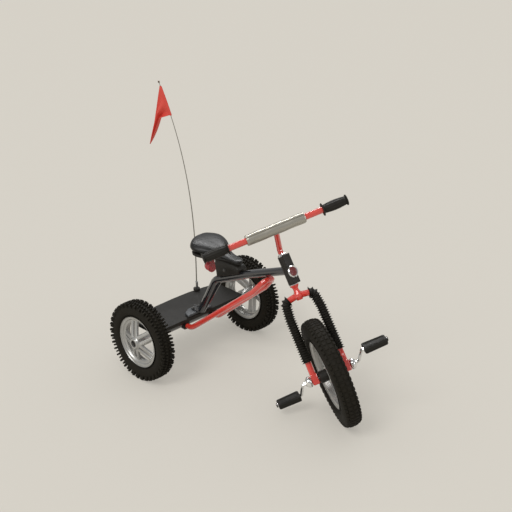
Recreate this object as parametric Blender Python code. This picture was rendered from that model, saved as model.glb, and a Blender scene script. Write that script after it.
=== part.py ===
"""Child's pedal tricycle with a raked fork, ribbed fork gaiters, a rear step deck and a flag.

Metres, +X forward, +Y to the rider's left, +Z up, ground at z = 0.
The fork rests turned to the rider's right, so everything that steers is built in the
fork's own space and hangs on an empty that stands on the steering axis.
"""
import math

import bmesh
import bpy
from mathutils import Matrix, Vector

# Clearance between pieces that touch
GAP = 0.0003

# Wheels and stance
REAR_AXLE_X = -0.209
WHEELBASE = 0.576
TRACK = 0.449
REAR_TYRE_DIAMETER = 0.254
REAR_TYRE_WIDTH = 0.048
REAR_BEAD_DIAMETER = 0.152
REAR_RIM_WIDTH = 0.037
REAR_LUGS = 24
FRONT_TYRE_DIAMETER = 0.330
FRONT_TYRE_WIDTH = 0.046
FRONT_BEAD_DIAMETER = 0.196
FRONT_RIM_WIDTH = 0.039
FRONT_LUGS = 28
LUG_HEIGHT = 0.0055
RIM_FLANGE_HEIGHT = 0.008
RIM_WALL = 0.0045
WEB_THICKNESS = 0.009
SPOKE_PAIRS = 5
SPOKE_WIDTH = 0.011
SPOKE_SLOT = 0.008
SPOKE_PHASE = 38.0
REAR_HUB_DIAMETER = 0.036
REAR_HUB_OUTBOARD = 0.034
REAR_HUB_INBOARD = 0.026
REAR_AXLE_DIAMETER = 0.012
REAR_AXLE_TUBE_DIAMETER = 0.029
REAR_SPACER_LENGTH = 0.0125
AXLE_CAP_DIAMETER = 0.021
AXLE_CAP_LENGTH = 0.009

# Steering geometry
HEAD_ANGLE = 32.6
STEER_ANGLE = 32.5
FORK_OFFSET = 0.010
COVER_LOW = 0.2712
COVER_HIGH = 0.3624
COVER_WIDTH = 0.029
COVER_FRONT = 0.017
SHIELD_RISE = 0.003
HEAD_TUBE_DIAMETER = 0.024
STEERER_DIAMETER = 0.018
CUP_DIAMETER = 0.027
CUP_HEIGHT = 0.0025
COLLAR_DIAMETER = 0.024
COLLAR_HEIGHT = 0.005
QUILL_DIAMETER = 0.011
QUILL_DEPTH = 0.034
BADGE_DIAMETER = 0.036
BADGE_RING_WIDTH = 0.0045
BADGE_HEIGHT = 0.309

# Fork
LEG_DIAMETER = 0.019
CROWN_HEIGHT = 0.2405
NECK_DIAMETER = 0.027
NECK_WAIST_DIAMETER = 0.0160
SHOULDER_OUT = 0.043
SHOULDER_DROP = 0.007
LEG_SPREAD_TOP = 0.049
LEG_SPREAD_DROP = 0.055
LEG_SPREAD_BOTTOM = 0.0500
LEG_BEND_RADIUS = 0.016
DROPOUT_WIDTH = 0.022
DROPOUT_BELOW = 0.0145
DROPOUT_ABOVE = 0.018
DROPOUT_THICKNESS = 0.0195
GAITER_START = 0.0315
GAITER_SLIP = 0.0025
GAITER_LOW = 0.054
GAITER_DIAMETER = 0.031
GAITER_GROOVE_DIAMETER = 0.0245
GAITER_RIBS = 25

# Handlebar
BAR_DIAMETER = 0.019
BAR_LENGTH = 0.440
BAR_HEIGHT = 0.439
BAR_REACH = 0.078
STEM_DIAMETER = 0.0165
PAD_DIAMETER = 0.0317
PAD_LENGTH = 0.178
GRIP_LENGTH = 0.077
GRIP_DIAMETER = 0.029
GRIP_WAIST_DIAMETER = 0.0235
GRIP_INNER_FLANGE = 0.038
GRIP_OUTER_FLANGE = 0.032
GRIP_FLANGE_THICKNESS = 0.0035

# Cranks and pedals
CRANK_LENGTH = 0.105
CRANK_ANGLE = 201.0
CRANK_ROD_DIAMETER = 0.010
CRANK_ARM_OUT = 0.088
CRANK_BEND_RADIUS = 0.010
BOSS_DIAMETER = 0.034
BOSS_LENGTH = 0.0185
BOSS_NECK_DIAMETER = 0.019
BOSS_FLANGE = 0.006
BUSH_DIAMETER = 0.014
FRONT_HUB_DIAMETER = 0.036
PEDAL_INNER = 0.096
PEDAL_LENGTH = 0.069
PEDAL_WIDTH = 0.036
PEDAL_THICKNESS = 0.020
PEDAL_CAP_LENGTH = 0.004

# Frame
MAIN_TUBE_DIAMETER = 0.025
MAIN_TUBE_BOW = 0.004
TUBE_BEND_X = 0.094
TUBE_BEND_Z = 0.288
TUBE_BEND_RADIUS = 0.045
TUBE_HEAD_X = 0.3925
TUBE_HEAD_Z = 0.4190
TUBE_FOOT_X = 0.013
GUSSET_WIDTH = 0.021
GUSSET_THICKNESS = 0.004
FOOT_BRACKET_LENGTH = 0.104
FOOT_BRACKET_WIDTH = 0.038
FOOT_BRACKET_HEIGHT = 0.008
FOOT_FLANGE_WIDTH = 0.030
DECK_FRONT = 0.021
DECK_REAR = 0.117
DECK_CORNER = 0.094
DECK_SIDE_STEP = 0.002
DECK_SHEET = 0.003
DECK_FLANGE = 0.012
LOOP_DIAMETER = 0.017
LOOP_REAR_SPREAD = 0.057
LOOP_FRONT_SPREAD = 0.021
LOOP_FRONT_X = 0.319
LOOP_REAR_DROP = 0.0065
LOOP_BEND_X = 0.281
LOOP_BEND_Z = 0.320
LOOP_BEND_STEP = 0.006
LOOP_BEND_RADIUS = 0.06
LOOP_LEVEL = 0.040
LOOP_CLAMP_LENGTH = 0.006
LOOP_CLAMP_WIDTH = 0.021

# Seat
SEAT_REAR = 0.018
SEAT_NOSE = 0.207
SEAT_HALF_WIDTH = 0.063
SEAT_NOSE_HALF_WIDTH = 0.016
SEAT_BOTTOM = 0.3715
SEAT_SHELL_THICKNESS = 0.008
SEAT_SHELL_INSET = 0.007
CUSHION_REAR_HEIGHT = 0.0395
CUSHION_NOSE_HEIGHT = 0.0155
SEAT_BRACKET_REAR = 0.108
SEAT_BRACKET_FRONT = 0.211
SEAT_BRACKET_WIDTH = 0.036
SEAT_BRACKET_SEAT = 0.011
LAMP_DIAMETER = 0.030
LAMP_DEPTH = 0.020
LAMP_X = 0.074
LAMP_Z = 0.325

# Flag
FLAG_BASE_X = 0.107
FLAG_BASE_Y = 0.100
POLE_DIAMETER = 0.0040
POLE_HEIGHT = 0.637
POLE_BEND = 0.153
POLE_CURL = 2.5
FLAG_BRACKET_DIAMETER = 0.022
FLAG_BRACKET_HEIGHT = 0.009
FERRULE_DIAMETER = 0.010
FERRULE_LENGTH = 0.022
FLAG_HOIST = 0.0965
FLAG_REACH = 0.101
FLAG_DROP = 0.119
FLAG_THICKNESS = 0.0018
FLAG_WAVE = 0.0144
FLAG_NOTCH = 0.034
FLAG_NOTCH_AT = 0.44
FLAG_TOP_GAP = 0.0105
FLAG_TIP_DIAMETER = 0.0064
FLAG_TIP_LENGTH = 0.007


# Materials and small makers

def material(name, colour, roughness, metallic=0.0):
    made = bpy.data.materials.new(name)
    made.use_nodes = True
    shader = made.node_tree.nodes["Principled BSDF"]
    shader.inputs["Base Color"].default_value = (*colour, 1.0)
    shader.inputs["Roughness"].default_value = roughness
    shader.inputs["Metallic"].default_value = metallic
    return made


def place(name, data, colour=None, parent=None, matrix=None):
    """Put mesh or curve data in the scene under a name, in its parent's space."""
    item = bpy.data.objects.new(name, data)
    bpy.context.scene.collection.objects.link(item)
    item.parent = parent
    if matrix is not None:
        item.matrix_basis = matrix
    if colour is not None:
        data.materials.clear()
        data.materials.append(colour)
    return item


def empty(name, parent=None, matrix=None):
    return place(name, None, None, parent, matrix)


def finish_mesh(bm, name, sharp=35.0):
    bmesh.ops.remove_doubles(bm, verts=bm.verts, dist=1e-6)
    bmesh.ops.recalc_face_normals(bm, faces=bm.faces)
    mesh = bpy.data.meshes.new(name)
    bm.to_mesh(mesh)
    bm.free()
    mesh.shade_smooth()
    mesh.set_sharp_from_angle(angle=math.radians(sharp))
    return mesh


def lathe(name, profile, steps, start=0.0):
    """Turned solid round Y from (radius, y) points; a profile off the axis closes on itself."""
    bm = bmesh.new()
    spin = Matrix.Rotation(math.radians(start), 3, "Y")
    verts = [bm.verts.new(spin @ Vector((r, y, 0.0))) for r, y in profile]
    edges = [bm.edges.new(pair) for pair in zip(verts, verts[1:])]
    if min(r for r, _ in profile) > 0.0:
        edges.append(bm.edges.new((verts[-1], verts[0])))
    bmesh.ops.spin(bm, geom=verts + edges, cent=(0, 0, 0), axis=(0, 1, 0),
                   angle=math.tau, steps=steps, use_merge=True)
    return finish_mesh(bm, name)


def prism(name, outline, low, high, axis="Z"):
    """Extrude a flat outline of (a, b) points from low to high along an axis, in that axis's own plane."""
    spots = {
        "Z": lambda a, b, c: (a, b, c),
        "Y": lambda a, b, c: (a, c, b),
    }[axis]
    bm = bmesh.new()
    face = bm.faces.new([bm.verts.new(spots(a, b, low)) for a, b in outline])
    grown = bmesh.ops.extrude_face_region(bm, geom=[face])["geom"]
    step = Vector(spots(0.0, 0.0, high - low))
    bmesh.ops.translate(bm, vec=step, verts=[v for v in grown if isinstance(v, bmesh.types.BMVert)])
    return finish_mesh(bm, name)


def eased(mesh, width, segments=1):
    """Bevel the sharp edges of a mesh."""
    bm = bmesh.new()
    bm.from_mesh(mesh)
    sharp = [e for e in bm.edges if e.calc_face_angle(0.0) > math.radians(40)]
    bmesh.ops.bevel(bm, geom=sharp, offset=width, segments=segments, affect="EDGES", profile=0.5)
    name = mesh.name
    bpy.data.meshes.remove(mesh)
    return finish_mesh(bm, name)


def block(name, low, high, round_edges=0.0):
    bm = bmesh.new()
    bmesh.ops.create_cube(bm, size=1.0)
    low = Vector(low)
    size = Vector(high) - low
    for vert in bm.verts:
        vert.co = low + Vector((c + 0.5) * s for c, s in zip(vert.co, size))
    if round_edges:
        bmesh.ops.bevel(bm, geom=bm.edges[:], offset=round_edges, segments=2, affect="EDGES", profile=0.5)
    return finish_mesh(bm, name)


def cylinder(name, radius, low, high, steps=24):
    """Plain round bar along Y from low to high."""
    return lathe(name, [(0.0, low), (radius, low), (radius, high), (0.0, high)], steps)


def ring(name, outer, inner, low, high, steps=24, ease=0.0):
    """Washer or sleeve along Y, with an optional eased outer edge."""
    profile = [(inner, low), (outer - ease, low), (outer, low + ease),
               (outer, high - ease), (outer - ease, high), (inner, high)]
    if not ease:
        profile = [(inner, low), (outer, low), (outer, high), (inner, high)]
    return lathe(name, profile, steps)


def rounded_path(corners, turn_steps=6):
    """Points through (corner, bend radius) pairs, each corner turned as an arc."""
    points = [Vector(corners[0][0])]
    for (before, _), (here, radius), (after, _) in zip(corners, corners[1:], corners[2:]):
        before, here, after = Vector(before), Vector(here), Vector(after)
        back = (before - here).normalized()
        ahead = (after - here).normalized()
        half = back.angle(ahead) / 2
        reach = radius / math.tan(half)
        centre = here + (back + ahead).normalized() * (radius / math.sin(half))
        first = here + back * reach - centre
        last = here + ahead * reach - centre
        sweep = first.angle(last)
        for i in range(turn_steps + 1):
            t = i / turn_steps
            a = math.sin((1 - t) * sweep) / math.sin(sweep)
            b = math.sin(t * sweep) / math.sin(sweep)
            points.append(centre + first * a + last * b)
    points.append(Vector(corners[-1][0]))
    return points


def tube(name, points, radius, resolution=2, shares=None):
    """Round tube along a run of points, as a curve with a bevel and filled caps."""
    curve = bpy.data.curves.new(name, "CURVE")
    curve.dimensions = "3D"
    curve.bevel_depth = radius
    curve.bevel_resolution = resolution
    curve.use_fill_caps = True
    spline = curve.splines.new("POLY")
    spline.points.add(len(points) - 1)
    for i, spot in enumerate(points):
        spline.points[i].co = (*spot, 1.0)
        spline.points[i].radius = shares[i] if shares else 1.0
    return curve


def as_mesh(curve, name, sharp=35.0):
    """The closed mesh of a tube, for pieces that are joined or cut."""
    guide = bpy.data.objects.new(name, curve)
    bpy.context.scene.collection.objects.link(guide)
    bpy.context.view_layer.update()
    seen = guide.evaluated_get(bpy.context.evaluated_depsgraph_get())
    raw = bpy.data.meshes.new_from_object(seen)
    bm = bmesh.new()
    bm.from_mesh(raw)
    bpy.data.objects.remove(guide)
    return finish_mesh(bm, name, sharp)


def sleeve_radius(radius, resolution):
    """Radius of a tube whose flats clear a round bar of a given radius, however it is turned."""
    return (radius + GAP) / math.cos(math.pi / (4 + 2 * resolution))


def boolean(target, tool, operation):
    tool.hide_render = True
    tool.display_type = "WIRE"
    step = target.modifiers.new(operation.title(), "BOOLEAN")
    step.operation = operation
    step.solver = "EXACT"
    step.object = tool


def cut(target, mesh, parent=None, matrix=None):
    boolean(target, place(f"{mesh.name}_cutter", mesh, None, parent, matrix), "DIFFERENCE")


def join(target, mesh, parent=None, matrix=None):
    boolean(target, place(f"{mesh.name}_joined", mesh, None, parent, matrix), "UNION")


def from_rear(x, y=0.0, z=0.0):
    """A point whose x is measured forward from the rear axle."""
    return Vector((REAR_AXLE_X + x, y, z))


# Y of a lathe to the Z of the space it goes in
Y_TO_Z = Matrix.Rotation(math.radians(90), 4, "X")


# Finishes

def make_finishes():
    return {
        "frame black": material("frame_black", (0.012, 0.013, 0.016), 0.22),
        "red": material("gloss_red", (0.62, 0.035, 0.022), 0.28),
        "rubber": material("black_rubber", (0.018, 0.017, 0.015), 0.75),
        "tyre": material("tyre_rubber", (0.022, 0.020, 0.018), 0.82),
        "silver": material("silver_plastic", (0.56, 0.56, 0.55), 0.32, 0.85),
        "chrome": material("chrome", (0.80, 0.80, 0.80), 0.10, 1.0),
        "steel": material("bright_steel", (0.55, 0.55, 0.55), 0.30, 1.0),
        "pad silver": material("pad_silver", (0.45, 0.43, 0.39), 0.45, 0.4),
        "black plastic": material("black_plastic", (0.020, 0.020, 0.020), 0.45),
        "seat vinyl": material("seat_vinyl", (0.022, 0.024, 0.026), 0.33),
        "deck black": material("deck_black", (0.024, 0.023, 0.022), 0.45),
        "plate grey": material("plate_grey", (0.22, 0.23, 0.23), 0.40),
        "lens red": material("lens_red", (0.55, 0.01, 0.02), 0.15),
        "flag red": material("flag_red", (0.72, 0.045, 0.025), 0.7),
        "pole": material("pole_grey", (0.42, 0.41, 0.37), 0.35, 0.6),
        "white plastic": material("white_plastic", (0.75, 0.74, 0.72), 0.4),
    }


# Tyres and wheels

def tyre_mesh(name, diameter, width, bead_diameter, rim_width, lugs):
    """Knobby tyre: a turned carcass with two shoulder rows and a staggered centre row of lugs."""
    outer = diameter / 2 - LUG_HEIGHT
    bead = bead_diameter / 2 + GAP
    lip = bead_diameter / 2 + RIM_FLANGE_HEIGHT + GAP
    bead_half = rim_width / 2 - RIM_WALL - GAP
    section = outer - lip
    profile = [
        (bead, -bead_half),
        (bead, bead_half),
        (lip, bead_half),
        (lip + 0.42 * section, width * 0.475),
        (outer - 0.0075, width * 0.425),
        (outer, width * 0.17),
    ]
    profile += [(r, -y) for r, y in reversed(profile[2:])]
    mesh = lathe(name, profile, 2 * lugs)
    bm = bmesh.new()
    bm.from_mesh(mesh)
    step = math.tau / (2 * lugs)
    rows = []
    for face in bm.faces:
        centre = face.calc_center_median()
        slot = round(math.atan2(centre.x, centre.z) / step - 0.5) % 2
        reach = math.hypot(centre.x, centre.z)
        shoulder = abs(centre.y) > width * 0.2
        if reach > outer - 0.006 and slot == (0 if shoulder else 1):
            rows.append(face)
    raised = bmesh.ops.extrude_discrete_faces(bm, faces=rows)["faces"]
    for face in raised:
        centre = face.calc_center_median()
        lift = face.normal * LUG_HEIGHT
        for vert in face.verts:
            vert.co = centre + (vert.co - centre) * 0.82 + lift
            vert.co.y = max(-width / 2, min(width / 2, vert.co.y))
    top = max(math.hypot(v.co.x, v.co.z) for v in bm.verts)
    scale = diameter / 2 / top
    for vert in bm.verts:
        reach = math.hypot(vert.co.x, vert.co.z)
        if reach > outer * 1.002:
            vert.co.x *= scale
            vert.co.z *= scale
    bpy.data.meshes.remove(mesh)
    return finish_mesh(bm, name, 25.0)


def lowest(mesh, matrix):
    """How far a mesh reaches below its own origin when turned by a matrix."""
    return -min((matrix @ vert.co).z for vert in mesh.vertices)


def wheel_profile(bead_diameter, rim_width, hub_diameter, bore, hub_out, hub_in, web_out_hub, web_out_rim):
    """Section of a moulded mag wheel, as (radius, y) with +y outboard."""
    bead = bead_diameter / 2
    lip = bead + RIM_FLANGE_HEIGHT
    half = rim_width / 2
    barrel = bead - RIM_WALL
    hub = hub_diameter / 2
    return [
        (bore, -hub_in),
        (bore, hub_out),
        (hub - 0.002, hub_out),
        (hub, hub_out - 0.003),
        (hub, web_out_hub),
        (barrel - 0.002, web_out_rim),
        (barrel, half - 0.004),
        (lip - 0.002, half),
        (lip, half - RIM_WALL),
        (bead, half - RIM_WALL),
        (bead, -half + RIM_WALL),
        (lip, -half + RIM_WALL),
        (lip - 0.002, -half),
        (barrel, -half + 0.004),
        (barrel - 0.002, web_out_rim - WEB_THICKNESS),
        (hub, web_out_hub - WEB_THICKNESS),
        (hub, -hub_in),
    ]


def cut_spokes(wheel, bead_diameter, hub_diameter, phase, parent, matrix):
    """Open the web between and inside the pairs of spokes."""
    rim = bead_diameter / 2 - RIM_WALL - 0.005
    pair_half = SPOKE_WIDTH + SPOKE_SLOT / 2
    sector = math.tau / SPOKE_PAIRS
    corner = math.asin(pair_half / rim)
    hub = hub_diameter / 2
    near = max(hub + 0.004, pair_half / math.sin(sector / 2) + 0.003)
    inner = math.asin(pair_half / near)
    for k in range(SPOKE_PAIRS):
        spoke = math.radians(phase) + k * sector
        arc = [corner + (sector - 2 * corner) * i / 4 for i in range(5)]
        outline = [(near, sector - inner), (near, inner)]
        outline = [(near, inner)] + [(rim, a) for a in arc] + [(near, sector - inner)]
        window = [(r * math.cos(spoke + a), r * math.sin(spoke + a)) for r, a in outline]
        cut(wheel, prism(f"window_{k}", window, -0.05, 0.05, "Y"), parent, matrix)
        slot_near = hub + 0.010
        ends = [(slot_near, -1), (rim, -1), (rim, 1), (slot_near, 1)]
        slot = []
        for along, side in ends:
            across = side * SPOKE_SLOT / 2
            slot.append((along * math.cos(spoke) - across * math.sin(spoke),
                         along * math.sin(spoke) + across * math.cos(spoke)))
        cut(wheel, prism(f"slot_{k}", slot, -0.05, 0.05, "Y"), parent, matrix)


def axle_tube_half():
    """Half the length of the axle tube, which ends a spacer's length short of each hub."""
    return TRACK / 2 - REAR_HUB_INBOARD - REAR_SPACER_LENGTH


def make_rear_axle(finish, height):
    """Axle rod through a tube under the deck."""
    half = TRACK / 2 + REAR_HUB_OUTBOARD - AXLE_CAP_LENGTH * 0.5
    centre = Matrix.Translation(from_rear(0.0, 0.0, height))
    place("rear_axle", cylinder("rear_axle", REAR_AXLE_DIAMETER / 2, -half, half, 16),
          finish["steel"], None, centre)
    tube_half = axle_tube_half()
    sleeve = ring("rear_axle_tube", REAR_AXLE_TUBE_DIAMETER / 2, REAR_AXLE_DIAMETER / 2 + GAP,
                  -tube_half, tube_half, 16)
    place("rear_axle_tube", sleeve, finish["frame black"], None, centre)


def make_rear_wheel(finish, side, height):
    """One rear wheel with its tyre, spacer and axle cap; side is +1 on the left."""
    label = "left" if side > 0 else "right"
    turn = Matrix.Identity(4) if side > 0 else Matrix.Rotation(math.pi, 4, "Z")
    hub = empty(f"rear_wheel_{label}_axis", None,
                Matrix.Translation(from_rear(0.0, side * TRACK / 2, height)) @ turn)
    tyre = tyre_mesh(f"rear_tyre_{label}", REAR_TYRE_DIAMETER, REAR_TYRE_WIDTH,
                     REAR_BEAD_DIAMETER, REAR_RIM_WIDTH, REAR_LUGS)
    place(f"rear_tyre_{label}", tyre, finish["tyre"], hub)
    bore = REAR_AXLE_DIAMETER / 2 + GAP
    profile = wheel_profile(REAR_BEAD_DIAMETER, REAR_RIM_WIDTH, REAR_HUB_DIAMETER, bore,
                            REAR_HUB_OUTBOARD, REAR_HUB_INBOARD, 0.028, 0.010)
    wheel = place(f"rear_wheel_{label}", lathe(f"rear_wheel_{label}", profile, 25), finish["silver"], hub)
    phase = SPOKE_PHASE if side < 0 else 180.0 - SPOKE_PHASE
    mirrored = phase if side > 0 else 180.0 - phase
    cut_spokes(wheel, REAR_BEAD_DIAMETER, REAR_HUB_DIAMETER, mirrored, hub, None)
    recess = AXLE_CAP_DIAMETER / 2 + GAP
    depth = REAR_HUB_OUTBOARD - AXLE_CAP_LENGTH
    cut(wheel, cylinder("cap_recess", recess, depth - GAP, REAR_HUB_OUTBOARD + 0.01, 20), hub)
    cap = lathe(f"rear_axle_cap_{label}", [
        (0.0, REAR_HUB_OUTBOARD - 0.001),
        (AXLE_CAP_DIAMETER * 0.3, REAR_HUB_OUTBOARD - 0.0015),
        (AXLE_CAP_DIAMETER / 2, REAR_HUB_OUTBOARD - 0.004),
        (AXLE_CAP_DIAMETER / 2, depth),
        (REAR_AXLE_DIAMETER / 2 + GAP, depth),
        (REAR_AXLE_DIAMETER / 2 + GAP, REAR_HUB_OUTBOARD - AXLE_CAP_LENGTH * 0.5 + GAP),
        (0.0, REAR_HUB_OUTBOARD - AXLE_CAP_LENGTH * 0.5 + GAP),
    ], 20)
    place(f"rear_axle_cap_{label}", cap, finish["black plastic"], hub)
    spacer_out = -REAR_HUB_INBOARD - GAP
    spacer_in = axle_tube_half() - TRACK / 2 + GAP
    spacer = ring(f"rear_spacer_{label}", REAR_AXLE_DIAMETER / 2 + 0.004, bore, spacer_in, spacer_out, 16)
    place(f"rear_spacer_{label}", spacer, finish["steel"], hub)
    return tyre


# Frame and deck

def deck_outline(inset):
    """Plan of the step deck from its front edge back, its rear edge bowed between cut corners."""
    front = DECK_FRONT - inset
    half = axle_tube_half() - DECK_SIDE_STEP - inset
    rear = DECK_REAR - inset
    corner = DECK_CORNER - inset
    points = [(front, -half), (front, half), (-corner, half)]
    steps = 8
    for i in range(1, steps):
        across = half * math.cos(math.pi * i / steps)
        bow = 1 - abs(across / half) ** 2.6
        points.append((-corner - (rear - corner) * bow, across))
    points.append((-corner, -half))
    return [(REAR_AXLE_X + x, y) for x, y in points]


def make_deck(finish, deck_top, axle_height):
    deck = place("rear_deck", prism("rear_deck", deck_outline(0.0), deck_top - DECK_FLANGE, deck_top),
                 finish["deck black"])
    hollow = prism("deck_hollow", deck_outline(DECK_SHEET), deck_top - DECK_FLANGE - 0.01, deck_top - DECK_SHEET)
    cut(deck, hollow)
    reach = 2 * axle_tube_half()
    cut(deck, cylinder("axle_notch", REAR_AXLE_TUBE_DIAMETER / 2 + GAP, -reach, reach, 16), None,
        Matrix.Translation(from_rear(0.0, 0.0, axle_height)))


def tube_height(x):
    """Height of the main tube's centre line over a point forward of the rear axle, past its bend."""
    climb = (TUBE_HEAD_Z - TUBE_BEND_Z) / (TUBE_HEAD_X - TUBE_BEND_X)
    return TUBE_BEND_Z + (x - TUBE_BEND_X) * climb


def main_tube_path(foot_height):
    """Centre line of the main tube from the head back, round its bend and down to the deck."""
    head = from_rear(TUBE_HEAD_X, 0.0, TUBE_HEAD_Z)
    bend = from_rear(TUBE_BEND_X, 0.0, TUBE_BEND_Z)
    foot = from_rear(TUBE_FOOT_X, 0.0, foot_height)
    middle = (head + bend) / 2 + Vector((0.0, 0.0, MAIN_TUBE_BOW))
    return rounded_path([(head, 0), (middle, 0.9), (bend, TUBE_BEND_RADIUS), (foot, 0)])


def head_space(steering):
    """The head tube's space: on the steering axis, but square to the frame."""
    return steering @ Matrix.Rotation(math.radians(STEER_ANGLE), 4, "Z")


def make_frame(finish, deck_top, head):
    foot_height = deck_top + FOOT_BRACKET_HEIGHT + 2 * GAP
    path = main_tube_path(foot_height - 0.02)
    frame = place("main_frame", as_mesh(tube("main_tube", path, MAIN_TUBE_DIAMETER / 2, 6), "main_tube"),
                  finish["frame black"])
    half = FOOT_FLANGE_WIDTH / 2
    foot_x = REAR_AXLE_X + TUBE_FOOT_X
    pad = block("frame_foot", (foot_x - half * 1.3, -half, foot_height),
                (foot_x + half, half, foot_height + 0.004))
    join(frame, pad)
    bend = from_rear(TUBE_BEND_X, 0.0, TUBE_BEND_Z)
    foot = from_rear(TUBE_FOOT_X, 0.0, foot_height)
    lean = (bend - foot).normalized()
    ahead = Vector((lean.z, 0.0, -lean.x))
    reach = MAIN_TUBE_DIAMETER / 2 + GUSSET_WIDTH - 0.012
    top = bend + lean * -0.022
    outline = [top, top + lean * 0.034 + ahead * reach, foot + lean * 0.012 + ahead * reach,
               foot + ahead * (reach + 0.008) + lean * -0.004, foot + lean * 0.002]
    web = prism("frame_web", [(p.x, p.z) for p in outline], -GUSSET_THICKNESS / 2, GUSSET_THICKNESS / 2, "Y")
    join(frame, web)
    below = block("foot_trim", (foot_x - 0.1, -0.1, foot_height - 0.1), (foot_x + 0.1, 0.1, foot_height))
    cut(frame, below)
    barrel = cylinder("head_tube", HEAD_TUBE_DIAMETER / 2, COVER_LOW + CUP_HEIGHT, COVER_HIGH - CUP_HEIGHT, 20)
    join(frame, barrel, None, head @ Y_TO_Z)
    bore = cylinder("head_bore", STEERER_DIAMETER / 2 + GAP, COVER_LOW - 0.02, COVER_HIGH + 0.02, 16)
    cut(frame, bore, None, head @ Y_TO_Z)
    long = FOOT_BRACKET_LENGTH / 2
    wide = FOOT_BRACKET_WIDTH / 2
    plan = [(wide, -long), (wide, long), (-0.2 * wide, 0.86 * long), (-wide, 0.4 * long),
            (-wide, -0.4 * long), (-0.2 * wide, -0.86 * long)]
    saddle = eased(prism("foot_bracket", plan, deck_top + GAP, deck_top + GAP + FOOT_BRACKET_HEIGHT), 0.002)
    place("foot_bracket", saddle, finish["plate grey"], None, Matrix.Translation(from_rear(0.001, 0.0, 0.0)))


def loop_path(rear_z):
    """Centre line of the hairpin brace, from the left clamp forward and back to the right."""
    slope = math.atan2(TUBE_HEAD_Z - TUBE_BEND_Z, TUBE_HEAD_X - TUBE_BEND_X)
    below = (MAIN_TUBE_DIAMETER + LOOP_DIAMETER) / 2 + GAP - MAIN_TUBE_BOW * 0.4
    front_z = tube_height(LOOP_FRONT_X) - below / math.cos(slope)
    corners = []
    for side in (1, -1):
        run = [
            (from_rear(REAR_AXLE_TUBE_DIAMETER / 2 + 2 * GAP, side * LOOP_REAR_SPREAD, rear_z), 0),
            (from_rear(LOOP_LEVEL, side * LOOP_REAR_SPREAD, rear_z), LOOP_LEVEL),
            (from_rear(LOOP_BEND_X, side * (LOOP_FRONT_SPREAD + LOOP_BEND_STEP), LOOP_BEND_Z), LOOP_BEND_RADIUS),
            (from_rear(LOOP_FRONT_X, side * LOOP_FRONT_SPREAD, front_z), LOOP_FRONT_SPREAD * 0.9),
        ]
        corners += run if side > 0 else run[::-1]
    return rounded_path(corners, 3)


def make_loop(finish, deck_top, axle_height):
    """Hairpin brace, its ends held in cradles that hang from the axle tube."""
    rear_z = axle_height - LOOP_REAR_DROP
    place("lower_frame_loop", tube("lower_frame_loop", loop_path(rear_z), LOOP_DIAMETER / 2, 4), finish["red"])
    start = REAR_AXLE_TUBE_DIAMETER / 2
    for side, label in ((1, "left"), (-1, "right")):
        x = REAR_AXLE_X
        half = LOOP_CLAMP_WIDTH / 2
        y = side * LOOP_REAR_SPREAD
        clamp = block(f"loop_clamp_{label}", (x - start * 0.7, y - half, rear_z - LOOP_DIAMETER / 2 - 0.002),
                      (x + start + LOOP_CLAMP_LENGTH, y + half, deck_top - DECK_FLANGE - GAP), 0.0012)
        holder = place(f"loop_clamp_{label}", clamp, finish["black plastic"])
        socket = cylinder("clamp_socket", LOOP_DIAMETER / 2 + GAP, -0.05, 0.0, 16)
        along = Matrix.Translation((x + start, y, rear_z)) @ Matrix.Rotation(math.radians(90), 4, "Z")
        cut(holder, socket, None, along)
        reach = axle_tube_half()
        room = cylinder("clamp_axle_room", REAR_AXLE_TUBE_DIAMETER / 2 + GAP, -reach, reach, 16)
        cut(holder, room, None, Matrix.Translation(from_rear(0.0, 0.0, axle_height)))


# Head

def make_head(finish, head, deck_top):
    """Moulded cover round the head tube, chrome bearing cups, badge and its ring."""
    half_w = COVER_WIDTH / 2
    low = COVER_LOW + CUP_HEIGHT + GAP
    high = COVER_HIGH - CUP_HEIGHT - GAP
    shield = CUP_DIAMETER / 2 + 2 * GAP
    plan = [(COVER_FRONT, -half_w), (COVER_FRONT, half_w)]
    for i in range(13):
        turn = math.pi * (0.5 + i / 12)
        plan.append((half_w * math.cos(turn), half_w * math.sin(turn)))
    cover = place("head_cover", eased(prism("head_cover", plan, low, high + SHIELD_RISE), 0.0012),
                  finish["black plastic"], None, head)
    cut(cover, block("behind_shield", (-0.05, -0.05, high), (shield, 0.05, high + 0.05)), None, head)
    bore = cylinder("cover_bore", HEAD_TUBE_DIAMETER / 2 + GAP, COVER_LOW - 0.01, COVER_HIGH + 0.01, 20)
    cut(cover, bore, None, head @ Y_TO_Z)
    run = main_tube_path(deck_top)[:3]
    notch = as_mesh(tube("tube_notch", run, sleeve_radius(MAIN_TUBE_DIAMETER / 2, 6), 6), "tube_notch")
    cut(cover, notch)
    for label, low in (("lower", COVER_LOW), ("upper", COVER_HIGH - CUP_HEIGHT)):
        cup = ring(f"headset_cup_{label}", CUP_DIAMETER / 2, STEERER_DIAMETER / 2 + GAP,
                   low + GAP, low + CUP_HEIGHT - GAP, 20)
        place(f"headset_cup_{label}", cup, finish["chrome"], None, head @ Y_TO_Z)
    face_on = head @ Matrix.Translation((COVER_FRONT + GAP, 0.0, BADGE_HEIGHT)) @ Matrix.Rotation(math.radians(-90), 4, "Z")
    radius = BADGE_DIAMETER / 2
    rim = radius - BADGE_RING_WIDTH
    badge = lathe("head_badge", [(0.0, 0.0), (rim - GAP, 0.0), (rim - GAP, 0.0025),
                                 (rim * 0.6, 0.0042), (0.0, 0.0050)], 24)
    place("head_badge", badge, finish["red"], None, face_on)
    bezel = lathe("badge_ring", [(rim, 0.0), (radius, 0.0), (radius, 0.002),
                                 (radius - BADGE_RING_WIDTH / 2, 0.0042), (rim, 0.0025)], 24)
    place("badge_ring", bezel, finish["chrome"], None, face_on)


# Fork and what it carries

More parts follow.
